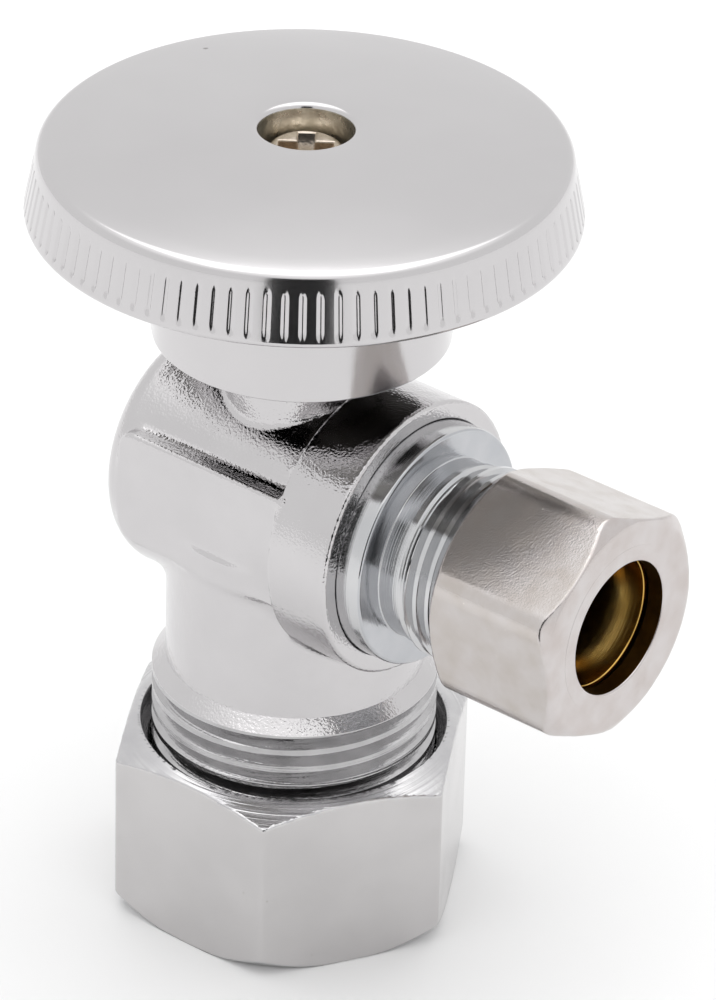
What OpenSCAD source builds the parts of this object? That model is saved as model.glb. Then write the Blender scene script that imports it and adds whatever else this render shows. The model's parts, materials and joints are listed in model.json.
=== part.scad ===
// Quarter-turn angle stop valve, 5/8 in tube inlet, 3/8 in tube outlet.
// Millimetres. +Z is the stem axis, pointing up through the handle; +X is the outlet.
// The origin is on the stem axis at the flat bottom face of the inlet nut.

/* [Tubes and threads] */
// Outside diameter of the supply tube that enters from below
inlet_tube_d = 15.875; // [15.8:0.005:15.9]
// Outside diameter of the riser tube that leaves at the side
outlet_tube_d = 9.525; // [9.5:0.005:9.55]
// Radial clearance of each tube in its nut, sleeve and socket
inlet_tube_gap = 0.1125; // [0.1:0.0025:0.125]
// Radial clearance of the riser tube
outlet_tube_gap = 0.1375; // [0.1:0.0025:0.14]
// Major diameter of the inlet compression thread, 13/16-18
inlet_thread_d = 20.64; // [20.6:0.01:20.66]
// Pitch of the inlet thread
inlet_pitch = 1.411; // [1.4:0.001:1.42]
// Major diameter of the outlet compression thread, 9/16-24
outlet_thread_d = 14.29; // [14.25:0.01:14.3]
// Pitch of the outlet thread
outlet_pitch = 1.058; // [1.05:0.001:1.06]

/* [Body] */
// Height of the outlet axis above the bottom of the inlet nut
axis_h = 33.3; // [33:0.1:34]
// Radius of the round barrel that houses the ball
barrel_r = 9.2; // [9:0.05:9.3]
// Distance from the stem axis to the blind rear end of the barrel
barrel_back = 11; // [10.8:0.1:11.5]
// Radius of the raised ring at the open end of the barrel
ring_r = 10.15; // [10:0.05:10.3]
// Distance from the stem axis to the rear of the ring
ring_back = 5.6; // [5.4:0.1:5.8]
// Distance from the stem axis to the front of the ring
ring_front = 10.8; // [10.7:0.1:11]
// Half width across the two side flats
side_flat_y = 9.1; // [8.9:0.05:9.2]
// Radius of the inlet neck above the thread
spigot_r = 9.35; // [9.2:0.05:9.5]
// Radius of the stem boss under the handle
boss_r = 5.4; // [5.2:0.1:5.6]

/* [Adapter] */
// Radius of the adapter flange that closes the barrel
flange_r = 8.55; // [8.4:0.05:8.6]
// Distance from the stem axis to the front of the flange
flange_front = 12.8; // [12.6:0.1:13]
// Distance from the stem axis to the free end of the adapter
adapter_end = 21.6; // [21.5:0.1:21.7]

/* [Nuts] */
// Width across flats of the inlet nut, 15/16 in
inlet_af = 23.8; // [23.7:0.05:23.9]
// Height of the inlet nut
inlet_nut_h = 13.9; // [13.8:0.1:14]
// Turn of the inlet hexagon about its axis
inlet_hex_turn = 1; // [0:1:59]
// Width across flats of the outlet nut, 5/8 in
outlet_af = 15.875; // [15.8:0.005:15.9]
// Length of the outlet nut
outlet_nut_l = 10.5; // [10.4:0.1:10.6]
// Distance from the stem axis to the face of the outlet nut
outlet_face = 28.8; // [28.7:0.1:28.9]
// Turn of the outlet hexagon about its axis
outlet_hex_turn = -22; // [-30:1:29]

/* [Handle] */
// Largest radius of the handle, near the bottom of its skirt
handle_r = 19.5; // [19.3:0.1:19.7]
// Radius of the top where it turns down into the skirt
shoulder_r = 18.6; // [18.4:0.1:18.8]
// Number of grooves round the skirt
groove_count = 100; // [80:4:120]
// Radius of the collar under the handle
collar_r = 10.55; // [10.4:0.05:10.7]
// Radius of the well that the handle screw sits in
well_r = 3.3; // [3.2:0.05:3.4]
// Angle the handle turns between open and closed
quarter_turn = 90; // [90]

/* [Ball and stem] */
// Radius of the ball
ball_r = 6; // [5.9:0.05:6.05]
// Radius of the two ports in the ball
port_r = 3.3; // [3:0.1:3.4]
// Radius of the stem
stem_r = 3.2; // [3.1:0.05:3.25]

/* [Hidden] */
$fn = 96;

eps = 0.01;
gap = 0.02;
run_gap = 0.05;

// Tube bores
inlet_bore_r = inlet_tube_d / 2 + inlet_tube_gap;
outlet_bore_r = outlet_tube_d / 2 + outlet_tube_gap;

// Male threads: crest radius, root radius and the bore of the nut that runs on them
inlet_crest_r = inlet_thread_d / 2;
inlet_root_r = inlet_crest_r - 0.55 * inlet_pitch;
outlet_crest_r = outlet_thread_d / 2;
outlet_root_r = outlet_crest_r - 0.55 * outlet_pitch;
nut_thread_gap = 0.1;

// Heights of the inlet end
spigot_end = 8.7;
inlet_stop = 16;
thread_top = 18.65;
passage_r = 4.6;

// Cone mouths that squeeze the sleeves, 45 degrees
inlet_mouth_r = 9.35;
outlet_mouth_r = 6;

// Sleeves: start along the tube, largest radius, length and wall at the thin ends
inlet_sleeve_z = 2.35;
inlet_sleeve_r = 9.4;
inlet_sleeve_l = 5.13;
inlet_sleeve_wall = 0.3;
outlet_sleeve_x = 22.5;
outlet_sleeve_r = 6.1;
outlet_sleeve_l = 4.65;
outlet_sleeve_wall = 0.25;

// Inlet nut: foot circle and the height its cone rises, mouth radius and depth
inlet_foot_r = 12.1;
inlet_foot_drop = 1.45;
inlet_nut_mouth_r = 11.1;
inlet_nut_mouth_h = 1.6;
inlet_top_drop = 1.15;
inlet_hole_h = 1.9;

// Outlet nut: radius the corners are turned to, end circles, depth of their cones, tube hole
outlet_corner_r = 8.9;
outlet_end_r = 7.85;
outlet_end_drop = 0.75;
outlet_hole_l = 1.3;

// Positions along the outlet
outlet_stop = 15.5;
relief_end = 14.1;
thread_start = 14.8;
adapter_passage_r = 3.6;

// Chamber for the ball and the threaded hole for the adapter
chamber_r = 6.7;
chamber_back = 8.2;
chamber_front = 5;
stub_hole_r = 7.55;
stub_r = stub_hole_r - run_gap;
stub_back = chamber_front + 0.1;
seat_pocket_end = 7.9;
counterbore_r = 8.85;
counterbore_x = 10;

// Adapter O-ring: centre along the axis, radii, and the groove it lies in
adapter_ring_x = 9.1;
adapter_ring_mid_r = 7.03;
adapter_ring_section_r = 0.5;
adapter_groove_x = 8.5;
adapter_groove_w = 1.2;
adapter_groove_r = 6.5;

// Seats
seat_r = 6.6;
seat_hole_r = 3.4;
seat_inner = 4.7;

// Stem stack, measured up from the outlet axis
ball_top = 5.4;
slot_depth = 2;
slot_w = 2.6;
tang_w = 2.5;
shoulder_low = 5.5;
washer_low = 6.8;
washer_top = 7.6;
pocket_r = 4.7;
stem_shoulder_r = 4.6;
stem_bore_r = stem_r + run_gap;

// Heights of the stem, boss and handle
boss_top = 51;
drive_low = 51.3;
drive_top = 56.6;
drive_flat = 4.6;
o_ring_heights = [43.2, 47];
o_ring_groove_h = 1.5;
o_ring_section_r = 0.52;
o_ring_mid_r = 2.7;
collar_low = 46.05;
collar_cavity_r = 8.8;
collar_cavity_top = 51.9;
skirt_low = 55.2;
shoulder_h = 59.7;
top_h = 62;
well_floor = 58.1;
web_t = 2;
skirt_t = 1.5;

// Stop lug on the boss and the rib in the collar that runs up against it
lug_r = 8.3;
lug_low = 46.8;
lug_high = 50.6;
lug_angle = 40;
lug_centre = 180;
rib_r = 5.7;
stop_slack = 0.5;

// Handle screw
screw_head_r = 2.75;
screw_head_h = 1.9;
screw_r = 1.9;
screw_hole_r = 2;
screw_l = 10;

// Grooves round the skirt
groove_w = 0.32;
groove_depth = 0.3;
groove_low = 56;
groove_h = 2.9;

// Turn the axis of a lathe shape from +Z to +X
module along_x() {
    rotate([0, 90, 0]) children();
}

// Points of a convex quarter arc, centre (cx, cy), from angle a to angle b
function arc(cx, cy, r, a, b, n = 6) =
    [for (i = [0 : n]) [cx + r * cos(a + (b - a) * i / n), cy + r * sin(a + (b - a) * i / n)]];

// Saw-tooth outline of a thread drawn as separate rings, from y0 up to y1
function thread_rings(crest, root, pitch, y0, y1) =
    let (n = floor((y1 - y0) / pitch), spare = (y1 - y0 - n * pitch) / 2)
    [for (i = [0 : n - 1], p = [[0.1, crest], [0.42, root], [0.58, root], [0.9, crest]])
        [p[1], y0 + spare + (i + p[0]) * pitch]];

// Hexagonal bar along +Z, its corners turned to turn_r and both ends to a cone
module turned_hex(af, turn_r, h, low_r, low_drop, high_r, high_drop, turn) {
    intersection() {
        rotate([0, 0, turn]) cylinder(r = af / sqrt(3), h = h, $fn = 6);
        rotate_extrude() polygon([
            [0, 0], [low_r, 0], [turn_r, low_drop], [turn_r, h - high_drop], [high_r, h], [0, h]
        ]);
    }
}

// Compression sleeve along +Z, tapered 45 degrees at both ends
module sleeve(bore_r, end_r, mid_r, l) {
    taper = mid_r - end_r;
    rotate_extrude() polygon([
        [bore_r, 0], [end_r, 0], [mid_r, taper], [mid_r, l - taper], [end_r, l], [bore_r, l]
    ]);
}

// O-ring lying flat round the Z axis
module o_ring(mid_r, section_r) {
    rotate_extrude() translate([mid_r, 0]) circle(r = section_r, $fn = 48);
}

// ---- Valve body: one chrome-plated brass forging ----

module body_outside() {
    translate([0, 0, axis_h]) along_x() rotate_extrude() polygon(concat(
        [[0, -barrel_back]],
        arc(barrel_r - 2.2, -barrel_back + 2.2, 2.2, -90, 0),
        [[barrel_r, ring_back + eps], [0, ring_back + eps]]
    ));
    translate([0, 0, axis_h]) along_x() rotate_extrude() polygon(concat(
        [[0, ring_back], [ring_r - 0.2, ring_back], [ring_r, ring_back + 0.2]],
        arc(ring_r - 0.35, ring_front - 0.35, 0.35, 0, 90, 3),
        [[0, ring_front]]
    ));
    side_flats();
    spigot();
    boss();
}

// The two flat cheeks that a wrench holds: one slab through the barrel, rounded at its upper rear corner
module side_flats() {
    cheek_back = -9.2;
    cheek_top = 5;
    cheek_bottom = -3.9;
    corner_r = 2;
    translate([0, 0, axis_h]) rotate([90, 0, 0])
        linear_extrude(height = 2 * side_flat_y, center = true) polygon(concat(
            [[ring_back + 0.5, cheek_bottom], [ring_back + 0.5, cheek_top]],
            arc(cheek_back + corner_r, cheek_top - corner_r, corner_r, 90, 180),
            arc(cheek_back + 1, cheek_bottom + 1, 1, 180, 270, 3)
        ));
}

// Inlet neck with the male compression thread
module spigot() {
    chamfer = inlet_crest_r - spigot_r;
    rotate_extrude() polygon(concat(
        [[0, spigot_end], [inlet_root_r, spigot_end]],
        thread_rings(inlet_crest_r, inlet_root_r, inlet_pitch, spigot_end + 0.3, thread_top),
        [[inlet_crest_r, thread_top], [spigot_r, thread_top + chamfer], [spigot_r, axis_h - 3],
            [0, axis_h - 3]]
    ));
}

// Boss round the stem, with the lug that stops the handle
module boss() {
    translate([0, 0, axis_h]) cylinder(r = boss_r, h = boss_top - axis_h);
    rotate([0, 0, lug_centre - lug_angle / 2]) rotate_extrude(angle = lug_angle)
        translate([boss_r - 1, lug_low]) square([lug_r - boss_r + 1, lug_high - lug_low]);
}

module body_inside() {
    // Tube socket, its 45 degree mouth and the waterway above it
    translate([0, 0, spigot_end - 1]) cylinder(r = inlet_bore_r, h = inlet_stop - spigot_end + 1);
    translate([0, 0, spigot_end - eps]) cylinder(
        r1 = inlet_mouth_r + eps, r2 = inlet_bore_r, h = inlet_mouth_r - inlet_bore_r + eps);
    translate([0, 0, inlet_stop - eps]) cylinder(r = passage_r, h = axis_h - inlet_stop);
    // Chamber, adapter thread and the recess for the adapter flange
    translate([0, 0, axis_h]) along_x() {
        translate([0, 0, -chamber_back]) cylinder(r = chamber_r, h = chamber_back + ring_front);
        translate([0, 0, chamber_front]) cylinder(r = stub_hole_r, h = ring_front);
        translate([0, 0, counterbore_x]) cylinder(r = counterbore_r, h = ring_front);
    }
    // Stem bore and the pocket under it
    cylinder_up(pocket_r, axis_h, axis_h + washer_top + gap);
    cylinder_up(stem_bore_r, axis_h, boss_top + 1);
}

// Plain cylinder between two heights
module cylinder_up(r, low, high) {
    translate([0, 0, low]) cylinder(r = r, h = high - low);
}

module valve_body() {
    color([0.86, 0.86, 0.87]) difference() {
        body_outside();
        body_inside();
    }
}

// ---- Outlet adapter: screws into the open end of the barrel ----

module outlet_adapter() {
    flange_back = counterbore_x + gap;
    groove_end = adapter_groove_x + adapter_groove_w;
    color([0.8, 0.82, 0.85]) translate([0, 0, axis_h]) along_x() difference() {
        rotate_extrude() polygon(concat(
            [[0, stub_back], [stub_r, stub_back], [stub_r, adapter_groove_x],
                [adapter_groove_r, adapter_groove_x], [adapter_groove_r, groove_end],
                [stub_r, groove_end], [stub_r, flange_back], [flange_r, flange_back]],
            arc(flange_r - 0.3, flange_front - 0.3, 0.3, 0, 90, 4),
            [[outlet_root_r + 0.05, flange_front], [outlet_root_r + 0.05, relief_end],
                [outlet_root_r + 0.2, relief_end + 0.1], [outlet_root_r + 0.2, thread_start]],
            thread_rings(outlet_crest_r, outlet_root_r, outlet_pitch, thread_start, adapter_end - 0.3),
            [[outlet_root_r, adapter_end], [0, adapter_end]]
        ));
        translate([0, 0, stub_back - 1]) cylinder(r = seat_r + run_gap, h = seat_pocket_end - stub_back + 1);
        cylinder_up(adapter_passage_r, stub_back, adapter_end);
        cylinder_up(outlet_bore_r, outlet_stop, adapter_end + 1);
        translate([0, 0, adapter_end - outlet_mouth_r + outlet_bore_r])
            cylinder(r1 = outlet_bore_r, r2 = outlet_mouth_r + eps, h = outlet_mouth_r - outlet_bore_r + eps);
    }
}

module adapter_o_ring() {
    color([0.1, 0.1, 0.1]) translate([adapter_ring_x, 0, axis_h]) along_x()
        o_ring(adapter_ring_mid_r, adapter_ring_section_r);
}

// ---- Ball, seats and stem ----

// Ball with one port down to the inlet and one port out to the side
module ball() {
    color([0.85, 0.86, 0.88]) translate([0, 0, axis_h]) difference() {
        sphere(r = ball_r);
        translate([0, 0, -ball_r - 1]) cylinder(r = port_r, h = ball_r + 1);
        along_x() cylinder(r = port_r, h = ball_r + 1);
        translate([-ball_r, -ball_r, ball_top]) cube([2 * ball_r, 2 * ball_r, 2]);
        translate([-slot_w / 2, -ball_r, ball_top - slot_depth]) cube([slot_w, 2 * ball_r, 4]);
    }
}

// Moulded seat whose dished face bears on the ball; drawn for the outlet side
module seat_shape(outer_end) {
    difference() {
        along_x() cylinder_up(seat_r, seat_inner, outer_end);
        along_x() cylinder_up(seat_hole_r, 0, outer_end + 1);
        sphere(r = ball_r + gap);
    }
}

module rear_seat() {
    color([0.95, 0.95, 0.93]) translate([0, 0, axis_h]) mirror([1, 0, 0])
        seat_shape(chamber_back - gap);
}

module outlet_seat() {
    color([0.95, 0.95, 0.93]) translate([0, 0, axis_h]) seat_shape(seat_pocket_end - gap);
}

module stem() {
    shoulder_z = axis_h + shoulder_low;
    washer_z = axis_h + washer_low - gap;
    tang_l = 8;
    color([0.8, 0.65, 0.3]) difference() {
        union() {
            intersection() {
                translate([-tang_w / 2, -tang_l / 2, axis_h + ball_top - slot_depth + 0.1])
                    cube([tang_w, tang_l, slot_depth + 0.4]);
                cylinder_up(stem_shoulder_r, axis_h, axis_h + 10);
            }
            cylinder_up(stem_shoulder_r, shoulder_z, washer_z);
            cylinder_up(stem_r, washer_z - eps, drive_low);
            intersection() {
                translate([-drive_flat / 2, -drive_flat / 2, drive_low - eps])
                    cube([drive_flat, drive_flat, drive_top - drive_low]);
                cylinder_up(stem_r, drive_low - 1, drive_top);
            }
        }
        for (z = o_ring_heights)
            difference() {
                cylinder_up(stem_r + 1, z, z + o_ring_groove_h);
                cylinder_up(o_ring_mid_r - o_ring_section_r - gap, z - 1, z + 3);
            }
        cylinder_up(screw_hole_r, drive_top - 9, drive_top + 1);
    }
}

module stem_o_ring(z) {
    color([0.1, 0.1, 0.1]) translate([0, 0, z + o_ring_groove_h / 2])
        o_ring(o_ring_mid_r, o_ring_section_r - gap);
}

module stem_o_ring_lower() {
    stem_o_ring(o_ring_heights[0]);
}

module stem_o_ring_upper() {
    stem_o_ring(o_ring_heights[1]);
}

module stem_thrust_washer() {
    color([0.95, 0.95, 0.93]) difference() {
        cylinder_up(pocket_r - 0.1, axis_h + washer_low, axis_h + washer_top);
        cylinder_up(stem_r + 0.1, axis_h, axis_h + washer_top + 1);
    }
}

// ---- Handle and its screw ----

// Half section of the handle: domed disc, flared skirt and collar
module handle_section() {
    polygon(concat(
        [[0, collar_cavity_top], [collar_cavity_r, collar_cavity_top], [collar_cavity_r, collar_low],
            [collar_r - 0.2, collar_low], [collar_r, collar_low + 0.2],
            [collar_r - 0.25, top_h - web_t - 1.7], [shoulder_r - skirt_t - 0.7, top_h - web_t - 2.6],
            [shoulder_r - skirt_t, shoulder_h - web_t - 0.8], [handle_r - skirt_t, skirt_low + 0.3],
            [handle_r - skirt_t + 0.3, skirt_low], [handle_r - 0.5, skirt_low]],
        arc(handle_r - 0.5, skirt_low + 0.5, 0.5, -90, 5, 4),
        arc(shoulder_r - 1.1, shoulder_h - 0.3, 1.1, 10, 80, 5),
        [for (i = [1 : 7]) dome_point(shoulder_r - 1.1 - (shoulder_r - 1.1 - well_r) * i / 8)],
        arc(well_r + 0.4, dome_height(well_r) - 0.4, 0.4, 90, 180, 4),
        [[0, dome_height(well_r) - 0.4]]
    ));
}

// Height of the gently domed top at radius r
function dome_height(r) =
    top_h - (top_h - shoulder_h - 0.8) * pow(r / (shoulder_r - 1.1), 2);

function dome_point(r) = [r, dome_height(r)];

module handle() {
    flare = atan((handle_r - shoulder_r) / (shoulder_h - skirt_low));
    color([0.84, 0.84, 0.86]) difference() {
        union() {
            difference() {
                rotate_extrude() handle_section();
                cylinder_up(well_r, well_floor, top_h + 1);
            }
            // Stop rib that leaves the lug a quarter turn of room
            rotate([0, 0, lug_centre + lug_angle / 2 + quarter_turn + stop_slack])
                rotate_extrude(angle = 360 - lug_angle - quarter_turn - 2 * stop_slack)
                    translate([rib_r, collar_low + 0.5])
                        square([collar_cavity_r - rib_r + 0.5, collar_cavity_top - collar_low]);
        }
        // Square socket for the stem and the clearance hole for the screw
        translate([-drive_flat / 2 - 0.05, -drive_flat / 2 - 0.05, collar_cavity_top - 1])
            cube([drive_flat + 0.1, drive_flat + 0.1, drive_top + 0.2 - collar_cavity_top + 1]);
        cylinder_up(screw_hole_r + 0.2, collar_cavity_top, top_h);
        for (i = [0 : groove_count - 1])
            rotate([0, 0, 360 * i / groove_count])
                translate([handle_r - groove_depth - 0.25, -groove_w / 2, groove_low])
                    rotate([0, -flare, 0]) cube([1.5, groove_w, groove_h]);
    }
}

module handle_screw() {
    head_low = well_floor + gap;
    color([0.8, 0.76, 0.7]) difference() {
        union() {
            rotate_extrude() polygon(concat(
                [[0, head_low], [screw_head_r, head_low]],
                arc(screw_head_r - 0.9, head_low + screw_head_h - 0.9, 0.9, 0, 80, 4),
                [[0, head_low + screw_head_h + 0.1]]
            ));
            cylinder_up(screw_r, head_low - screw_l, head_low + eps);
        }
        for (turn = [0, 90])
            rotate([0, 0, turn]) translate([-1.6, -0.35, head_low + 0.6]) cube([3.2, 0.7, 3]);
    }
}

// ---- Compression nuts and sleeves ----

module inlet_nut() {
    bore_r = inlet_crest_r + nut_thread_gap;
    cone_h = bore_r - inlet_bore_r;
    mouth_low = inlet_nut_h - inlet_nut_mouth_h;
    mouth_flare = inlet_nut_mouth_r - bore_r;
    color([0.82, 0.82, 0.84]) difference() {
        turned_hex(inlet_af, inlet_af / sqrt(3) + eps, inlet_nut_h, inlet_foot_r, inlet_foot_drop,
            inlet_nut_mouth_r + 0.1, inlet_top_drop, inlet_hex_turn);
        cylinder_up(inlet_bore_r, -1, inlet_nut_h);
        translate([0, 0, inlet_hole_h]) cylinder(r1 = inlet_bore_r, r2 = bore_r, h = cone_h);
        cylinder_up(bore_r, inlet_hole_h + cone_h - eps, inlet_nut_h + 1);
        translate([0, 0, mouth_low]) cylinder(r1 = bore_r, r2 = inlet_nut_mouth_r, h = mouth_flare);
        cylinder_up(inlet_nut_mouth_r, mouth_low + mouth_flare, inlet_nut_h + 1);
    }
}

module inlet_ferrule() {
    color([0.78, 0.6, 0.25]) translate([0, 0, inlet_sleeve_z])
        sleeve(inlet_bore_r, inlet_bore_r + inlet_sleeve_wall, inlet_sleeve_r, inlet_sleeve_l);
}

module outlet_nut() {
    bore_r = outlet_crest_r + nut_thread_gap;
    cone_l = bore_r - outlet_bore_r;
    cone_low = outlet_nut_l - outlet_hole_l - cone_l;
    color([0.8, 0.77, 0.74]) translate([outlet_face - outlet_nut_l, 0, axis_h])
        along_x() difference() {
            turned_hex(outlet_af, outlet_corner_r, outlet_nut_l, outlet_end_r, outlet_end_drop,
                outlet_end_r, outlet_end_drop, outlet_hex_turn + 90);
            cylinder_up(outlet_bore_r, -1, outlet_nut_l + 1);
            translate([0, 0, cone_low]) cylinder(r1 = bore_r, r2 = outlet_bore_r, h = cone_l);
            cylinder_up(bore_r, -1, cone_low + eps);
        }
}

module outlet_ferrule() {
    color([0.78, 0.6, 0.25]) translate([outlet_sleeve_x, 0, axis_h]) along_x()
        sleeve(outlet_bore_r, outlet_bore_r + outlet_sleeve_wall, outlet_sleeve_r, outlet_sleeve_l);
}

valve_body();
outlet_adapter();
adapter_o_ring();
ball();
rear_seat();
outlet_seat();
stem();
stem_o_ring_lower();
stem_o_ring_upper();
stem_thrust_washer();
handle();
handle_screw();
inlet_nut();
inlet_ferrule();
outlet_nut();
outlet_ferrule();
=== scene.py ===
"""Looks of a quarter-turn angle stop valve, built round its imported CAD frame.

Sizes are in millimetres in the row frame: +Z up the stem, +X out of the side outlet, the origin
at the bottom of the inlet nut. Meshes are turned to metres as they are made.
"""

from __future__ import annotations

import json
import logging
import math
from collections.abc import Callable, Sequence
from dataclasses import dataclass
from enum import Enum
from typing import Any

import bpy
import numpy as np
from mathutils import Matrix, Vector

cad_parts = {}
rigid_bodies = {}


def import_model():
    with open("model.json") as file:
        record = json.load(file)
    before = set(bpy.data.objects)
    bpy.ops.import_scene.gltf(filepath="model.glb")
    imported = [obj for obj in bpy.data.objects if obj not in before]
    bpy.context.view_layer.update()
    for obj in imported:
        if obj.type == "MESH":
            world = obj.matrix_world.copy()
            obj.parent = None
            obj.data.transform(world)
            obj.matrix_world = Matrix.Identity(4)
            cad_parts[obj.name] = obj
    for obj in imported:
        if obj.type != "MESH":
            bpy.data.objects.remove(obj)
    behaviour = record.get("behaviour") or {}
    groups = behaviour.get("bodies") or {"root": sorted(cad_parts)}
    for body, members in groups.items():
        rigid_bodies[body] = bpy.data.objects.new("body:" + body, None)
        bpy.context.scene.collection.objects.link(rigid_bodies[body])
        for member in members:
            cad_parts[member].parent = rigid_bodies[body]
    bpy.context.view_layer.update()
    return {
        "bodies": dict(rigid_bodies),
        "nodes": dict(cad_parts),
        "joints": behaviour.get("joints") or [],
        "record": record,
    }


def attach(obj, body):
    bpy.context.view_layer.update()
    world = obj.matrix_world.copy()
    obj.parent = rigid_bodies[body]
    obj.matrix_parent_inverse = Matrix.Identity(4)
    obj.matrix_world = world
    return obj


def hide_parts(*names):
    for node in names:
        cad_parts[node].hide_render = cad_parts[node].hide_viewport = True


LOG = logging.getLogger("angle_stop")
MM = 0.001

Array = np.ndarray
Field = Callable[[Array, Array, Array], Array]
Point = tuple[float, float]


class Axis(Enum):
    """The row axis that a turned piece is turned about."""

    X = "x"
    Z = "z"


# ---------------------------------------------------------------- shared sizes

AXIS_H = 33.3  # height of the outlet axis
INLET_TUBE_R = 8.05
OUTLET_TUBE_R = 4.9
INLET_CREST_R = 10.32
INLET_PITCH = 1.411
OUTLET_CREST_R = 7.145
OUTLET_PITCH = 1.058
THREAD_DEPTH = 0.55  # of the pitch
INLET_CREST_AT = 17.5  # height of one crest of the inlet thread, at angle 0
LUG_HALF = 20.0  # half the angle that the stop lug on the boss takes up, in degrees
HANDLE_SWEEP = 90.0  # degrees from open to shut
STOP_SLACK = 0.5  # degrees left between the lug and the rib
NUT_GAP = 0.1  # radial room between a nut and its male thread


# ---------------------------------------------------------------- fields for solid pieces


def smooth_min(a: Array, b: Array, k: float) -> Array:
    """Union of two distance fields with a fillet.

    Args:
        a: First field, negative inside.
        b: Second field.
        k: Reach of the fillet in millimetres.

    Returns:
        The joined field.
    """
    h = np.clip(0.5 + 0.5 * (b - a) / k, 0, 1)
    return b * (1 - h) + a * h - k * h * (1 - h)


def smooth_max(a: Array, b: Array, k: float) -> Array:
    """Intersection of two distance fields with a rounded edge of reach k."""
    return -smooth_min(-a, -b, k)


def rod(radial: Array, along: Array, r: float, low: float, high: float, edge: float = 0.0) -> Array:
    """Distance to a round rod.

    Args:
        radial: Distance of each point from the rod's axis.
        along: Position of each point along the axis.
        r: Radius of the rod.
        low: Where it starts.
        high: Where it ends.
        edge: Radius of its rounded end edges.

    Returns:
        The distance field, negative inside.
    """
    dr = radial - (r - edge)
    dz = np.abs(along - (low + high) / 2) - ((high - low) / 2 - edge)
    outside = np.hypot(np.maximum(dr, 0), np.maximum(dz, 0))
    return outside + np.minimum(np.maximum(dr, dz), 0) - edge


def cone(radial: Array, along: Array, r_at: float, at: float, slope: float) -> Array:
    """Distance to a cone of radius r_at at a place, growing by slope per millimetre along."""
    return (radial - (r_at + slope * (along - at))) / math.hypot(1, slope)


def hexagon(u: Array, v: Array, across_flats: float, turn: float, edge: float) -> Array:
    """Distance to a hexagonal bar.

    Args:
        u: First coordinate across the bar.
        v: Second coordinate across the bar.
        across_flats: Size across the flats.
        turn: Angle of one corner, in degrees.
        edge: Reach of the rounding on the six long edges.

    Returns:
        The distance field, negative inside.
    """
    field = None
    for i in range(6):
        a = math.radians(turn + 30 + 60 * i)
        side = u * math.cos(a) + v * math.sin(a) - across_flats / 2
        field = side if field is None else smooth_max(field, side, edge)
    return field


def thread_wave(angle: Array, along: Array, pitch: float) -> Array:
    """Height of a right-hand thread's flank, from 0 at the root to 1 at the crest.

    Args:
        angle: Angle of each point round the thread.
        along: Its position along the axis.
        pitch: Pitch of the thread.

    Returns:
        The height at each point.
    """
    phase = np.mod(along / pitch - angle / (2 * np.pi), 1.0)
    ramp = np.abs(phase - 0.5) * 2
    return np.clip((ramp - 0.12) / 0.72, 0, 1)


# ---------------------------------------------------------------- meshing a field


def crossings(values: Array, axis: int) -> tuple[Array, Array]:
    """Grid edges along one axis that pass through the surface.

    Args:
        values: The field at every grid point.
        axis: The axis along which the edges run.

    Returns:
        The index of each edge's first point, and whether that point is inside.
    """
    inside = values < 0
    first = np.take(inside, range(inside.shape[axis] - 1), axis)
    second = np.take(inside, range(1, inside.shape[axis]), axis)
    where = np.argwhere(first != second)
    return where, first[tuple(where.T)]


def gradient(field: Field, points: Array, step: float) -> Array:
    """Unit gradient of a field at some points, by central differences.

    Args:
        field: The distance field.
        points: Where to take it, a row for each point.
        step: Reach of the differences.

    Returns:
        One unit vector for each point.
    """
    out = np.zeros_like(points)
    for k in range(3):
        shift = np.zeros(3)
        shift[k] = step
        out[:, k] = field(*(points + shift).T) - field(*(points - shift).T)
    return out / np.maximum(np.linalg.norm(out, axis=1, keepdims=True), 1e-12)


def refine(field: Field, a: Array, b: Array, rounds: int = 12) -> Array:
    """Points where the field is zero between a (inside) and b (outside), by bisection.

    Args:
        field: The distance field.
        a: Points inside.
        b: Points outside.
        rounds: Number of halvings.

    Returns:
        The points on the surface.
    """
    for _ in range(rounds):
        middle = (a + b) / 2
        within = (field(*middle.T) < 0)[:, None]
        a = np.where(within, middle, a)
        b = np.where(within, b, middle)
    return (a + b) / 2


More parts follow.
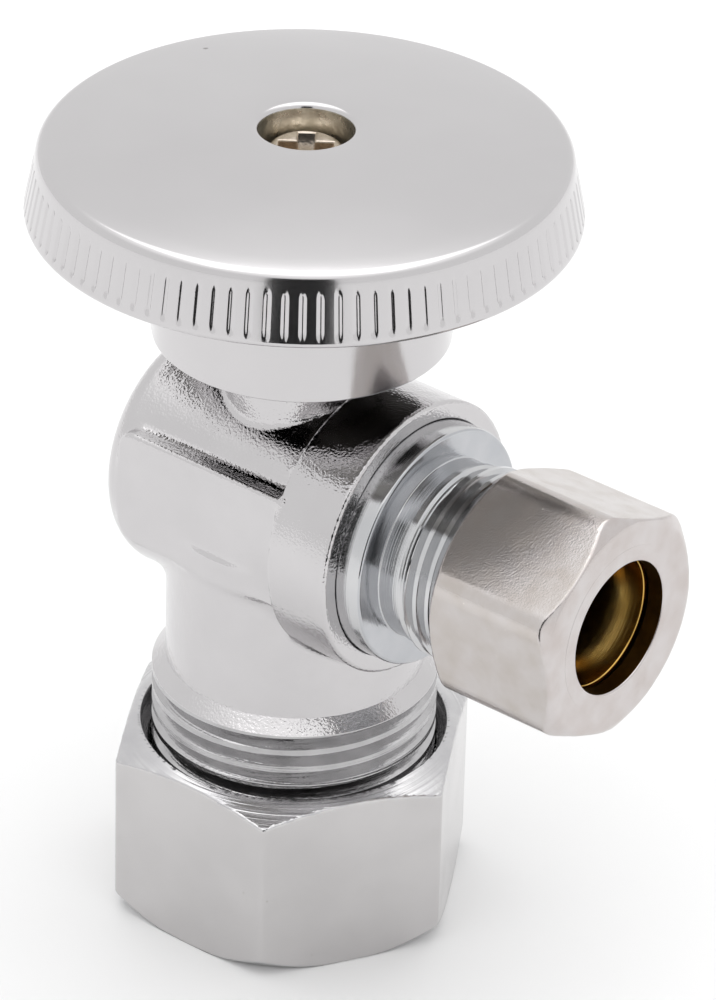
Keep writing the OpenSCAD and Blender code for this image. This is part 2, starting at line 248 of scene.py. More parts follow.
def mesh_field(field: Field, low: Sequence[float], high: Sequence[float], cell: float) -> tuple[Array, Array]:
    """Turns a distance field into a closed quad mesh that keeps its sharp edges.

    Each cell that the surface passes through gets one point, placed where the planes that cross
    the cell meet.

    Args:
        field: Negative inside the solid, in millimetres.
        low: Lowest corner of the region.
        high: Highest corner of the region.
        cell: Size of a cell.

    Returns:
        The points in millimetres and the quads, facing outwards.
    """
    low = np.asarray(low, float) - 1.37 * cell
    count = np.ceil((np.asarray(high, float) + 1.6 * cell - low) / cell).astype(int) + 1
    ticks = [low[k] + cell * np.arange(count[k]) for k in range(3)]
    values = np.empty(count)
    for i, x in enumerate(ticks[0]):
        y, z = np.meshgrid(ticks[1], ticks[2], indexing="ij")
        values[i] = field(np.full_like(y, x), y, z)
    shape = count - 1
    size = int(np.prod(shape))
    normal_products = np.zeros((size, 9))
    normal_offsets = np.zeros((size, 3))
    sums = np.zeros((size, 3))
    hits = np.zeros(size)
    quads = []
    for axis in range(3):
        start, start_inside = crossings(values, axis)
        step = np.zeros(3)
        step[axis] = cell
        a = low + start * cell
        b = a + step
        flip = ~start_inside[:, None]
        point = refine(field, np.where(flip, b, a), np.where(flip, a, b))
        normal = gradient(field, point, cell * 0.02)
        u, v = (axis + 1) % 3, (axis + 2) % 3
        corners = []
        for du, dv in ((-1, -1), (0, -1), (0, 0), (-1, 0)):
            index = start.copy()
            index[:, u] += du
            index[:, v] += dv
            flat = np.ravel_multi_index(tuple(index.T), tuple(shape))
            corners.append(flat)
            outer = (normal[:, :, None] * normal[:, None, :]).reshape(-1, 9)
            offset = normal * np.sum(normal * point, axis=1, keepdims=True)
            for k in range(9):
                normal_products[:, k] += np.bincount(flat, outer[:, k], size)
            for k in range(3):
                normal_offsets[:, k] += np.bincount(flat, offset[:, k], size)
                sums[:, k] += np.bincount(flat, point[:, k], size)
            hits += np.bincount(flat, minlength=size)
        quad = np.stack(corners, 1)
        quad[~start_inside] = quad[~start_inside][:, ::-1]
        quads.append(quad)
    used = np.flatnonzero(hits)
    mean = sums[used] / hits[used, None]
    matrix = normal_products[used].reshape(-1, 3, 3)
    pull = 0.01
    right = normal_offsets[used] - np.einsum("nij,nj->ni", matrix, mean)
    shift = np.linalg.solve(matrix + pull * np.eye(3), right[:, :, None])[:, :, 0]
    corner = low + np.stack(np.unravel_index(used, tuple(shape)), 1) * cell
    points = np.clip(mean + shift, corner, corner + cell)
    number = np.zeros(size, int)
    number[used] = np.arange(len(used))
    return points, number[np.concatenate(quads)]


# ---------------------------------------------------------------- turned pieces


def rounded(corners: Sequence[tuple[float, ...]], steps: int = 5) -> list[Point]:
    """A closed outline whose corners are rounded.

    Args:
        corners: Each corner as (radius, along) or (radius, along, fillet radius).
        steps: Segments in each fillet.

    Returns:
        The points of the outline.
    """
    out: list[Point] = []
    n = len(corners)
    for i, corner in enumerate(corners):
        here = np.array(corner[:2], float)
        fillet = corner[2] if len(corner) > 2 else 0.0
        before = np.array(corners[i - 1][:2], float) - here
        after = np.array(corners[(i + 1) % n][:2], float) - here
        before_l, after_l = np.linalg.norm(before), np.linalg.norm(after)
        before, after = before / before_l, after / after_l
        half = math.acos(float(np.clip(before @ after, -1, 1))) / 2
        if fillet <= 0 or half > math.pi / 2 - 0.02:
            out.append((float(here[0]), float(here[1])))
            continue
        reach = min(fillet / math.tan(half), 0.49 * before_l, 0.49 * after_l)
        radius = reach * math.tan(half)
        bisector = (before + after) / np.linalg.norm(before + after)
        centre = here + bisector * (radius / math.sin(half))
        a = here + before * reach - centre
        b = here + after * reach - centre
        angle_a = math.atan2(a[1], a[0])
        sweep = math.atan2(a[0] * b[1] - a[1] * b[0], a @ b)
        for k in range(steps + 1):
            t = angle_a + sweep * k / steps
            out.append((centre[0] + radius * math.cos(t), centre[1] + radius * math.sin(t)))
    return out


def divided(outline: Sequence[Point], low: float, high: float, min_r: float, step: float) -> list[Point]:
    """The outline with points added on its outer stretch between two places along the axis.

    Args:
        outline: The closed outline.
        low: Where the stretch starts.
        high: Where it ends.
        min_r: Only points at least this far from the axis belong to it.
        step: Spacing of the added points.

    Returns:
        The outline with the extra points.
    """
    out: list[Point] = []
    n = len(outline)
    for i, (r, z) in enumerate(outline):
        r2, z2 = outline[(i + 1) % n]
        out.append((r, z))
        if min(r, r2) < min_r or max(z, z2) <= low or min(z, z2) >= high:
            continue
        pieces = max(1, math.ceil(math.hypot(r2 - r, z2 - z) / step))
        for k in range(1, pieces):
            out.append((r + (r2 - r) * k / pieces, z + (z2 - z) * k / pieces))
    return out


def revolved(outline: Sequence[Point], angles: Sequence[float]) -> tuple[Array, list[list[int]]]:
    """Turns a closed outline once round the Z axis.

    Args:
        outline: Points (radius, along).
        angles: The angle of each column, in radians, rising.

    Returns:
        The points in millimetres and the faces.
    """
    n, m = len(outline), len(angles)
    points = [(r * math.cos(a), r * math.sin(a), z) for r, z in outline for a in angles]
    faces = []
    for i in range(n):
        j = (i + 1) % n
        for k in range(m):
            q = (k + 1) % m
            faces.append([i * m + k, i * m + q, j * m + q, j * m + k])
    return np.array(points), faces


def wound(outline: Sequence[Point], at: int, pitch: float, rows: int, start: float,
          angles: Sequence[float]) -> tuple[Array, list[list[int]]]:
    """Turns a closed outline round the Z axis, with one stretch meshed along a right-hand helix.

    Args:
        outline: Points (radius, along).
        at: The stretch from this point up to the next one is the one that carries the helix; it is
            laid at the radius of that next point.
        pitch: Rise of the helix in a turn.
        rows: Rows of points in each pitch.
        start: Place along the axis of one row, at angle 0.
        angles: The angle of each column, evenly spaced and rising.

    Returns:
        The points in millimetres and the faces.
    """
    points, faces = revolved(outline, angles)
    n, m = len(outline), len(angles)
    low, (radius, high) = outline[at][1], outline[at + 1]
    first_face = at * m
    faces = faces[:first_face] + faces[first_face + m:]
    step = pitch / rows
    grid: list[list[int]] = []
    lowest: list[int] = []
    extra: list[tuple[float, float, float]] = []
    for a in angles:
        base = start + pitch * a / (2 * math.pi)
        k_low = math.ceil((low - base) / step + 0.4)
        k_high = math.floor((high - base) / step - 0.4)
        lowest.append(k_low)
        grid.append([n * m + len(extra) + i for i in range(k_high - k_low + 1)])
        extra.extend((radius * math.cos(a), radius * math.sin(a), base + k * step)
                     for k in range(k_low, k_high + 1))
    for c in range(m):
        d = (c + 1) % m
        lift = rows if d == 0 else 0
        left, right = grid[c], grid[d]
        left_low, right_low = lowest[c], lowest[d] - lift
        k0 = max(left_low, right_low)
        k1 = min(left_low + len(left), right_low + len(right)) - 1
        for k in range(k0, k1):
            faces.append([left[k - left_low], right[k - right_low], right[k + 1 - right_low],
                          left[k + 1 - left_low]])
        foot_left, foot_right = at * m + c, at * m + d
        faces.append([foot_left, foot_right, *right[:k0 - right_low + 1], *left[:k0 - left_low + 1][::-1]])
        head_left, head_right = (at + 1) * m + c, (at + 1) * m + d
        faces.append([left[k1 - left_low], *right[k1 - right_low:], head_right, head_left,
                      *left[k1 - left_low + 1:][::-1]])
    return np.concatenate([points, np.array(extra)]), faces


def even_angles(count: int) -> list[float]:
    """Evenly spaced column angles for a full turn."""
    return [2 * math.pi * i / count for i in range(count)]


# ---------------------------------------------------------------- objects


def linked(name: str, data: Any) -> bpy.types.Object:
    """Makes an object of some data and links it to the scene.

    Args:
        name: Name of the object.
        data: Its mesh, light or camera.

    Returns:
        The object.
    """
    obj = bpy.data.objects.new(name, data)
    bpy.context.scene.collection.objects.link(obj)
    return obj


def read(items: Any, what: str, width: int = 1, kind: type = float) -> Array:
    """Reads one property of all items of a mesh.

    Args:
        items: The mesh's vertices, loops, polygons or triangles.
        what: Name of the property.
        width: Numbers in the property.
        kind: Type of a number.

    Returns:
        One row for each item, or one number where the width is 1.
    """
    values = np.empty(len(items) * width, kind)
    items.foreach_get(what, values)
    return values.reshape(-1, width) if width > 1 else values


def new_object(name: str, points: Array, faces: Any, crease: float = 32.0) -> bpy.types.Object:
    """Makes a mesh object at the origin from points in millimetres.

    Args:
        name: Name of the object.
        points: Its points.
        faces: Its faces.
        crease: Edges that turn by more than this many degrees stay sharp.

    Returns:
        The linked object, with its normals facing outwards.
    """
    mesh = bpy.data.meshes.new(name)
    mesh.from_pydata((np.asarray(points) * MM).tolist(), [], [list(map(int, f)) for f in faces])
    mesh.validate()
    orient_outwards(mesh)
    mesh.shade_smooth()
    mesh.set_sharp_from_angle(angle=math.radians(crease))
    return linked(name, mesh)


def orient_outwards(mesh: bpy.types.Mesh) -> None:
    """Turns a closed mesh whose faces all point inwards the right way round."""
    mesh.calc_loop_triangles()
    corners = read(mesh.loop_triangles, "vertices", 3, np.int32)
    a, b, c = read(mesh.vertices, "co", 3)[corners].transpose(1, 0, 2)
    if float(np.sum(a * np.cross(b, c))) < 0:
        mesh.flip_normals()


def turned(name: str, outline: Sequence[Point], axis: Axis, angles: Sequence[float],
           crease: float = 32.0, helix: tuple[int, float, int, float] | None = None) -> bpy.types.Object:
    """Makes a turned piece.

    Args:
        name: Name of the object.
        outline: Closed outline of (radius, position along the axis).
        axis: Z for the stem axis, X for the outlet axis.
        angles: Column angles.
        crease: Sharp edge angle in degrees.
        helix: Where wound() is to lay a helix: the stretch, the pitch, the rows and the start.

    Returns:
        The object.
    """
    points, faces = revolved(outline, angles) if helix is None else wound(outline, *helix, angles)
    if axis is Axis.X:
        points = np.stack([points[:, 2], points[:, 0], points[:, 1] + AXIS_H], 1)
    return new_object(name, points, faces, crease)


def solid(name: str, field: Field, low: Sequence[float], high: Sequence[float], cell: float,
          crease: float = 32.0) -> bpy.types.Object:
    """Makes a piece from a distance field.

    Args:
        name: Name of the object.
        field: Negative inside, in millimetres.
        low: Lowest corner of its region.
        high: Highest corner.
        cell: Mesh size.
        crease: Sharp edge angle in degrees.

    Returns:
        The object, with normals taken from the field so that reflections run true.
    """
    points, quads = mesh_field(field, low, high, cell)
    obj = new_object(name, points, quads, crease)
    true_normals(obj.data, field, cell)
    return obj


def true_normals(mesh: bpy.types.Mesh, field: Field, cell: float) -> None:
    """Sets each face corner's normal from the field just inside that face.

    Args:
        mesh: The mesh.
        field: The field it was made from.
        cell: Size of its cells.
    """
    corner = read(mesh.vertices, "co", 3)[read(mesh.loops, "vertex_index", kind=np.int32)] / MM
    sizes = read(mesh.polygons, "loop_total", kind=np.int32)
    centres = np.repeat(read(mesh.polygons, "center", 3) / MM, sizes, axis=0)
    probe = corner + (centres - corner) * 0.35
    normal = gradient(field, probe, cell * 0.04)
    mesh.normals_split_custom_set(normal.tolist())


# ---------------------------------------------------------------- node trees


MATH = "ShaderNodeMath"
VECTOR = "ShaderNodeVectorMath"
RANGE = "ShaderNodeMapRange"
NOISE = "ShaderNodeTexNoise"
CELLS = "ShaderNodeTexVoronoi"
MIX = "ShaderNodeMix"


def add(tree: bpy.types.NodeTree, kind: str, links: dict[Any, Any] | None = None, out: Any = 0,
        **settings: Any) -> Any:
    """Adds a node with its settings and its inputs.

    Args:
        tree: The tree that gets the node.
        kind: Blender's name for the node type.
        links: Input name or index to a value, or to the socket that feeds it.
        out: Name or index of the output wanted back.
        settings: The node's own properties.

    Returns:
        That output, or the node itself where it has no outputs.
    """
    node = tree.nodes.new(kind)
    for key, value in settings.items():
        setattr(node, key, value)
    for key, value in (links or {}).items():
        if isinstance(value, bpy.types.NodeSocket):
            tree.links.new(value, node.inputs[key])
        else:
            node.inputs[key].default_value = value
    return node.outputs[out] if node.outputs else node


def linear(hex_colour: str) -> tuple[float, float, float, float]:
    """Turns an sRGB hex colour such as "#C8A060" into Blender's linear colour.

    Args:
        hex_colour: The colour, with its leading #.

    Returns:
        Red, green, blue and an alpha of 1.
    """
    out = []
    for i in (1, 3, 5):
        c = int(hex_colour[i:i + 2], 16) / 255
        out.append(c / 12.92 if c <= 0.04045 else ((c + 0.055) / 1.055) ** 2.4)
    return (out[0], out[1], out[2], 1.0)


# ---------------------------------------------------------------- finishes


def per_mm(size: float) -> float:
    """Texture scale that makes one feature this many millimetres across."""
    return 1 / (size * MM)


@dataclass(frozen=True)
class Relief:
    """One layer of fine surface relief: the size of its bumps and how high they are, in millimetres."""

    size: float
    height: float


@dataclass(frozen=True)
class Finish:
    """A finish that starts from a Principled shader.

    Attributes:
        name: Name of the material.
        colour: Main colour.
        second: Colour that it drifts to in patches.
        patch: Size of the patches in millimetres.
        metallic: 1 for bare or plated metal.
        rough: Roughness where the surface is at its cleanest.
        rough_drift: How much the roughness rises in patches.
        relief: Layers of relief.
        rings: Spacing in millimetres of turning marks, 0 for none.
        ring_height: Height of the turning marks in millimetres.
        axis: Axis that the turning marks go round.
        flat_rings: True where the marks lie on a face across the axis, False along a cylinder.
        pits: Colour of tiny pits, or an empty string for none.
        pit_size: Spacing of the grid that the pits are scattered on, in millimetres.
        pit_share: Share of the grid that has one.
    """

    name: str
    colour: str
    second: str
    patch: float = 5.0
    metallic: float = 1.0
    rough: float = 0.12
    rough_drift: float = 0.05
    relief: tuple[Relief, ...] = ()
    rings: float = 0.0
    ring_height: float = 0.0
    axis: Axis = Axis.Z
    flat_rings: bool = False
    pits: str = ""
    pit_size: float = 1.0
    pit_share: float = 0.1

    def material(self) -> bpy.types.Material:
        """Builds the material, or hands back the one already built."""
        known = bpy.data.materials.get(self.name)
        if known:
            return known
        material = bpy.data.materials.new(self.name)
        material.use_nodes = True
        tree = material.node_tree
        tree.nodes.clear()
        place = add(tree, "ShaderNodeTexCoord", out="Object")
        patches = add(tree, NOISE, {"Vector": place, "Scale": per_mm(self.patch), "Detail": 3.0}, out="Fac")
        drift = add(tree, RANGE, {0: patches, 1: 0.35, 2: 0.7, 3: 0.0, 4: 1.0})
        colour = add(tree, MIX, {0: drift, 6: linear(self.colour), 7: linear(self.second)}, out=2,
                     data_type="RGBA")
        rough = add(tree, RANGE, {0: drift, 1: 0.0, 2: 1.0, 3: self.rough, 4: self.rough + self.rough_drift})
        height = self.turning_marks(tree, place)
        for layer in self.relief:
            bumps = add(tree, NOISE, {"Vector": place, "Scale": per_mm(layer.size), "Detail": 1.0}, out="Fac")
            height = add(tree, MATH, {0: bumps, 1: layer.height * MM, 2: height}, operation="MULTIPLY_ADD")
        if self.pits:
            colour, height = self.pitting(tree, place, colour, height)
        normal = add(tree, "ShaderNodeBump", {"Strength": 1.0, "Distance": 1.0, "Height": height})
        shader = add(tree, "ShaderNodeBsdfPrincipled",
                     {"Base Color": colour, "Metallic": self.metallic, "Roughness": rough, "Normal": normal})
        add(tree, "ShaderNodeOutputMaterial", {"Surface": shader})
        return material

    def turning_marks(self, tree: bpy.types.NodeTree, place: Any) -> Any:
        """Height of the fine rings that a cutting tool leaves, or 0 where there are none.

        Args:
            tree: The material's tree.
            place: Object coordinates.

        Returns:
            The height.
        """
        if not self.rings:
            return 0.0
        centre = (0.0, 0.0, AXIS_H * MM) if self.axis is Axis.X else (0.0, 0.0, 0.0)
        local = add(tree, VECTOR, {0: place, 1: centre}, operation="SUBTRACT")
        along_axis = (1.0, 0.0, 0.0) if self.axis is Axis.X else (0.0, 0.0, 1.0)
        along = add(tree, VECTOR, {0: local, 1: along_axis}, out="Value", operation="DOT_PRODUCT")
        if self.flat_rings:
            across = add(tree, VECTOR, {0: local, 1: tuple(1 - c for c in along_axis)}, operation="MULTIPLY")
            along = add(tree, VECTOR, {0: across}, out="Value", operation="LENGTH")
        lines = add(tree, NOISE, {"W": along, "Scale": per_mm(self.rings), "Detail": 2.0}, out="Fac",
                    noise_dimensions="1D")
        return add(tree, MATH, {0: lines, 1: self.ring_height * MM}, operation="MULTIPLY")

    def pitting(self, tree: bpy.types.NodeTree, place: Any, colour: Any, height: Any) -> tuple[Any, Any]:
        """Scatters small pits.

        Args:
            tree: The material's tree.
            place: Object coordinates.
            colour: Colour so far.
            height: Height so far.

        Returns:
            The colour and the height with the pits in them.
        """
        links = {"Vector": place, "Scale": per_mm(self.pit_size)}
        cells = add(tree, CELLS, links, out="Distance").node
        chosen = add(tree, "ShaderNodeSeparateColor", {0: cells.outputs["Color"]})
        kept = add(tree, MATH, {0: chosen, 1: self.pit_share}, operation="LESS_THAN")
        near = add(tree, RANGE, {0: cells.outputs["Distance"], 1: 0.06, 2: 0.13, 3: 1.0, 4: 0.0})
        pit = add(tree, MATH, {0: near, 1: kept}, operation="MULTIPLY")
        colour = add(tree, MIX, {0: pit, 6: colour, 7: linear(self.pits)}, out=2, data_type="RGBA")
        height = add(tree, MATH, {0: pit, 1: -0.01 * MM, 2: height}, operation="MULTIPLY_ADD")
        return colour, height


# Chrome plate on a hot forging that was shot blasted and only lightly polished: mirror bright, but
# with orange peel about a millimetre across and a stipple that breaks up every reflection. The grit
# leaves marks of about 0.1 mm, drawn here at 0.18 mm and 0.3 mm so that they show
FORGED_CHROME = Finish(
    "forged_brass_chrome_plated", "#CAC8C9", "#C5C3C4", patch=6.0, rough=0.08, rough_drift=0.05,
    relief=(Relief(1.5, 0.035), Relief(0.30, 0.009), Relief(0.18, 0.027)))
# The same plate on lathe-cut brass: fine rings that smear highlights across them. The tool's feed is
# near 0.05 mm, drawn at 0.11 mm so that the rings show
TURNED_CHROME = Finish(
    "turned_brass_chrome_plated", "#CACACB", "#C1C2C4", patch=3.0, rough=0.10, rough_drift=0.06,
    relief=(Relief(0.5, 0.003),), rings=0.11, ring_height=0.008, axis=Axis.X)
# The faced front of the adapter's flange: a cooler, slightly duller cut
FLANGE_CHROME = Finish(
    "faced_brass_chrome_plated", "#BDBEC1", "#B2B4B8", patch=3.0, rough=0.12, rough_drift=0.06,
    relief=(Relief(0.8, 0.006),), rings=0.14, ring_height=0.004, axis=Axis.X, flat_rings=True)
# The forging's thread, cut after forging and plated with it: ringed by the tool and grainy on its flanks
CUT_CHROME = Finish(
    "cut_thread_chrome_plated", "#BEBDBE", "#AEADAE", patch=2.5, rough=0.13, rough_drift=0.09,
    relief=(Relief(0.5, 0.014), Relief(0.17, 0.010)), rings=0.12, ring_height=0.018, axis=Axis.Z)
# Chrome on polished die-cast zinc: smooth, faintly wavy, a few tiny dark specks under the plate
HANDLE_CHROME = Finish(
    "die_cast_zinc_chrome_plated", "#CAC8C9", "#C7C5C6", patch=9.0, rough=0.12, rough_drift=0.03,
    relief=(Relief(4.0, 0.012), Relief(0.5, 0.0006)), pits="#5A5652", pit_size=2.4, pit_share=0.05)
# The unpolished underside of the casting: plate too thin to shine, grey and grainy
CAST_UNDERSIDE = Finish(
    "die_cast_zinc_unpolished", "#A19F9C", "#8E8C89", patch=2.0, rough=0.42, rough_drift=0.12,
    relief=(Relief(0.8, 0.02), Relief(0.25, 0.01)))
# The deep cavity in the collar and its stop rib: near black, painted shade that stands in for the darkness
# deep in the cavity
COLLAR_PAINTED_SHADE = Finish(
    "collar_cavity_painted_shade", "#2E2C2A", "#242220", patch=2.4, rough=0.5, rough_drift=0.15,
    relief=(Relief(0.9, 0.02), Relief(0.25, 0.008)))
# The drilled wall of the screw's well, with drill marks: a light warm grey, brighter than its plate, as a
# painted reflection of the well's far wall
WELL_WALL = Finish(
    "drilled_zinc_painted_reflection", "#E2DED4", "#B9B4A6", patch=1.1, rough=0.26, rough_drift=0.12,
    relief=(Relief(0.5, 0.03), Relief(0.16, 0.008)))
# Chrome on a hexagonal bar: flats drawn smooth, with small pits
NUT_PLATE = Finish(
    "hexagon_bar_chrome_plated", "#CBC9C9", "#C5C3C3", patch=5.0, rough=0.13, rough_drift=0.05,
    relief=(Relief(2.2, 0.012), Relief(0.3, 0.0016)), pits="#B9B7B4", pit_size=0.9, pit_share=0.14)
# Its turned ends, ringed by the tool: the feed drawn at 0.34 mm, coarser than it is, so that it shows
NUT_TURNED = Finish(
    "hexagon_bar_turned_end", "#CAC9CA", "#BEBDBF", patch=3.0, rough=0.16, rough_drift=0.06,
    relief=(Relief(0.3, 0.004),), rings=0.34, ring_height=0.045, axis=Axis.Z, flat_rings=True)
# Nickel without chrome on the small nut: a warmer grey with brownish polish stains and bright specks
NUT_NICKEL = Finish(
    "hexagon_bar_nickel_plated", "#C9C4C2", "#C0B9B4", patch=1.9, rough=0.17, rough_drift=0.06,
    relief=(Relief(1.6, 0.005), Relief(0.4, 0.002), Relief(0.14, 0.008)), pits="#F4EFE8", pit_size=0.45,
    pit_share=0.10)
# The same nickel on the nut's turned ends
NICKEL_TURNED = Finish(
    "nickel_turned_end", "#CAC5C4", "#C0B8B5", patch=2.0, rough=0.17, rough_drift=0.08,
    relief=(Relief(0.3, 0.002),), rings=0.2, ring_height=0.004, axis=Axis.X, flat_rings=True)
# Bare machined brass of the sleeve's rim, bright yellow
BRASS_RIM = Finish(
    "machined_brass", "#E0B868", "#C79A48", patch=1.8, rough=0.16, rough_drift=0.08,
    relief=(Relief(0.3, 0.002),), rings=0.2, ring_height=0.004, axis=Axis.X)
# Brass down a narrow bore, where the plating bath did not reach: dark brown
BRASS_BORE = Finish(
    "dark_brown_brass_bore", "#5E431B", "#3E2A10", patch=2.4, rough=0.34, rough_drift=0.12,
    relief=(Relief(0.3, 0.003),), rings=0.2, ring_height=0.006, axis=Axis.X)
# Bare brass turned about the stem axis
BRASS_UPRIGHT = Finish(
    "turned_brass_upright", "#D0A457", "#B08138", patch=2.0, rough=0.24, rough_drift=0.1,
    relief=(Relief(0.3, 0.002),), rings=0.2, ring_height=0.004, axis=Axis.Z)
# Nickel-plated steel screw, warm grey
SCREW_STEEL = Finish(
    "screw_steel_nickel_plated", "#D2C7BA", "#B3A697", patch=0.9, rough=0.12, rough_drift=0.1,
    relief=(Relief(0.5, 0.01), Relief(0.2, 0.004)))
# Moulded rubber: matt black with a fine bloom
RUBBER = Finish(
    "moulded_nitrile_rubber", "#1B1B1C", "#262526", patch=1.5, metallic=0.0, rough=0.55, rough_drift=0.1,
    relief=(Relief(0.25, 0.003),))
# Sintered PTFE: waxy white
PTFE = Finish(
    "machined_ptfe", "#F1F0EA", "#E7E5DC", patch=2.0, metallic=0.0, rough=0.38, rough_drift=0.08,
    relief=(Relief(0.3, 0.002),))
# Hard chrome on the ground and lapped ball
BALL_CHROME = Finish(
    "lapped_brass_ball_chrome", "#C8C9CC", "#C1C3C7", patch=3.0, rough=0.06, rough_drift=0.02,
    relief=(Relief(0.8, 0.001),))
# Matt black paper of the card, with the faint mottle of paper
BLACK_PAPER = Finish(
    "matt_black_card", "#0A0A0B", "#0E0E0F", patch=20.0, metallic=0.0, rough=0.9, rough_drift=0.05)
# Painted sweep, pale and matt
PALE_SWEEP = Finish(
    "pale_matt_sweep", "#F0F0F0", "#EEEEEE", patch=60.0, metallic=0.0, rough=0.8, rough_drift=0.05,
    relief=(Relief(0.6, 0.004),))


Chooser = Callable[[Array, Array], Array]


def dress(obj: bpy.types.Object, finishes: Sequence[Finish], choose: Chooser | None = None) -> None:
    """Gives an object its finishes.

    Args:
        obj: The mesh object.
        finishes: One finish for each material slot.
        choose: Takes face centres in millimetres and face normals, gives each face's slot number.
    """
    mesh = obj.data
    mesh.materials.clear()
    for finish in finishes:
        mesh.materials.append(finish.material())
    if choose is None:
        return
    slots = choose(read(mesh.polygons, "center", 3) / MM, read(mesh.polygons, "normal", 3))
    mesh.polygons.foreach_set("material_index", slots.astype(np.int32))
    mesh.update()


# ---------------------------------------------------------------- shapes that follow a rule


def new_tree(name: str, inputs: dict[str, str]) -> tuple[bpy.types.NodeTree, bpy.types.Node]:
    """Starts a geometry node tree.

    Args:
        name: Name of the tree.
        inputs: Each input's name and kind of socket, after the geometry itself.

    Returns:
        The tree and its input node.
    """
    tree = bpy.data.node_groups.new(name, "GeometryNodeTree")
    tree.interface.new_socket(name="Geometry", in_out="INPUT", socket_type="NodeSocketGeometry")
    for key, kind in inputs.items():
        tree.interface.new_socket(name=key, in_out="INPUT", socket_type=kind)
    tree.interface.new_socket(name="Geometry", in_out="OUTPUT", socket_type="NodeSocketGeometry")
    return tree, add(tree, "NodeGroupInput").node


def end_tree(tree: bpy.types.NodeTree, given: bpy.types.Node, offset: Any) -> None:
    """Ends a tree: moves the points by an offset, realizes instances and sets the material.

    Args:
        tree: The geometry tree.
        given: Its input node.
        offset: Offset of each point.
    """
    moved = add(tree, "GeometryNodeSetPosition", {"Geometry": given.outputs["Geometry"], "Offset": offset})
    real = add(tree, "GeometryNodeRealizeInstances", {0: moved})
    dressed = add(tree, "GeometryNodeSetMaterial", {"Geometry": real, "Material": given.outputs["Material"]})
    add(tree, "NodeGroupOutput", {0: dressed})


def radial_parts(tree: bpy.types.NodeTree, centre: Any, axis: Any, zero: Any) -> tuple[Any, Any, Any, Any]:
    """Splits each point's place about an axis.

    Args:
        tree: The geometry tree.
        centre: A point on the axis.
        axis: Direction of the axis.
        zero: Direction across the axis where the angle is 0.

    Returns:
        The distance along the axis, the vector away from it, that vector's length and its angle.
    """
    point = add(tree, "GeometryNodeInputPosition")
    local = add(tree, VECTOR, {0: point, 1: centre}, operation="SUBTRACT")
    along = add(tree, VECTOR, {0: local, 1: axis}, out="Value", operation="DOT_PRODUCT")
    on_axis = add(tree, VECTOR, {0: axis, "Scale": along}, operation="SCALE")
    away = add(tree, VECTOR, {0: local, 1: on_axis}, operation="SUBTRACT")
    radius = add(tree, VECTOR, {0: away}, out="Value", operation="LENGTH")
    side = add(tree, VECTOR, {0: axis, 1: zero}, operation="CROSS_PRODUCT")
    u = add(tree, VECTOR, {0: away, 1: zero}, out="Value", operation="DOT_PRODUCT")
    v = add(tree, VECTOR, {0: away, 1: side}, out="Value", operation="DOT_PRODUCT")
    return along, away, radius, add(tree, MATH, {0: v, 1: u}, operation="ARCTAN2")


def off_middle(tree: bpy.types.NodeTree, turns: Any) -> Any:
    """How far a count of turns is from the nearest half turn, from 0 to 0.5.

    Args:
        tree: The geometry tree.
        turns: The count of turns.

    Returns:
        The distance.
    """
    part = add(tree, MATH, {0: turns}, operation="FRACT")
    part = add(tree, MATH, {0: part, 1: 0.5}, operation="SUBTRACT")
    return add(tree, MATH, {0: part}, operation="ABSOLUTE")


def pull_in(tree: bpy.types.NodeTree, away: Any, radius: Any, depth: Any) -> Any:
    """Offset that moves a point towards the axis by a depth.

    Args:
        tree: The geometry tree.
        away: Vector from the axis to the point.
        radius: Length of that vector.
        depth: How far to move.

    Returns:
        The offset.
    """
    share = add(tree, MATH, {0: depth, 1: radius}, operation="DIVIDE")
    share = add(tree, MATH, {0: share, 1: -1.0}, operation="MULTIPLY")
    return add(tree, VECTOR, {0: away, "Scale": share}, operation="SCALE")


def thread_tree() -> bpy.types.NodeTree:
    """The tree that cuts a right-hand thread into the crest cylinder of a turned piece.

    It runs in from the root and runs out at the crest.
    """
    known = bpy.data.node_groups.get("cut_thread")
    if known:
        return known
    number, vector = "NodeSocketFloat", "NodeSocketVector"
    tree, given = new_tree("cut_thread", {
        "Crest": number, "Depth": number, "Pitch": number, "Start": number, "End": number, "Fade": number,
        "Phase": number, "Centre": vector, "Axis": vector, "Zero": vector, "Material": "NodeSocketMaterial"})
    get = given.outputs
    along, away, radius, angle = radial_parts(tree, get["Centre"], get["Axis"], get["Zero"])
    raised = add(tree, MATH, {0: along, 1: get["Phase"]}, operation="SUBTRACT")
    turns = add(tree, MATH, {0: raised, 1: get["Pitch"]}, operation="DIVIDE")
    part = add(tree, MATH, {0: angle, 1: 2 * math.pi}, operation="DIVIDE")
    turns = add(tree, MATH, {0: turns, 1: part}, operation="SUBTRACT")
    groove = add(tree, RANGE, {0: off_middle(tree, turns), 1: 0.05, 2: 0.35, 3: 1.0, 4: 0.0})
    start_end = add(tree, MATH, {0: get["Start"], 1: get["Fade"]}, operation="ADD")
    end_start = add(tree, MATH, {0: get["End"], 1: get["Fade"]}, operation="SUBTRACT")
    run_in = add(tree, RANGE, {0: along, 1: get["Start"], 2: start_end, 3: 1.0, 4: 0.0})
    groove = add(tree, MATH, {0: groove, 1: run_in}, operation="MAXIMUM")
    run_out = add(tree, RANGE, {0: along, 1: end_start, 2: get["End"], 3: 1.0, 4: 0.0})
    on_crest = add(tree, MATH, {0: radius, 1: get["Crest"], 2: 0.03 * MM}, operation="COMPARE")
    depth = get["Depth"]
    for factor in (groove, run_out, on_crest):
        depth = add(tree, MATH, {0: depth, 1: factor}, operation="MULTIPLY")
    end_tree(tree, given, pull_in(tree, away, radius, depth))
    return tree


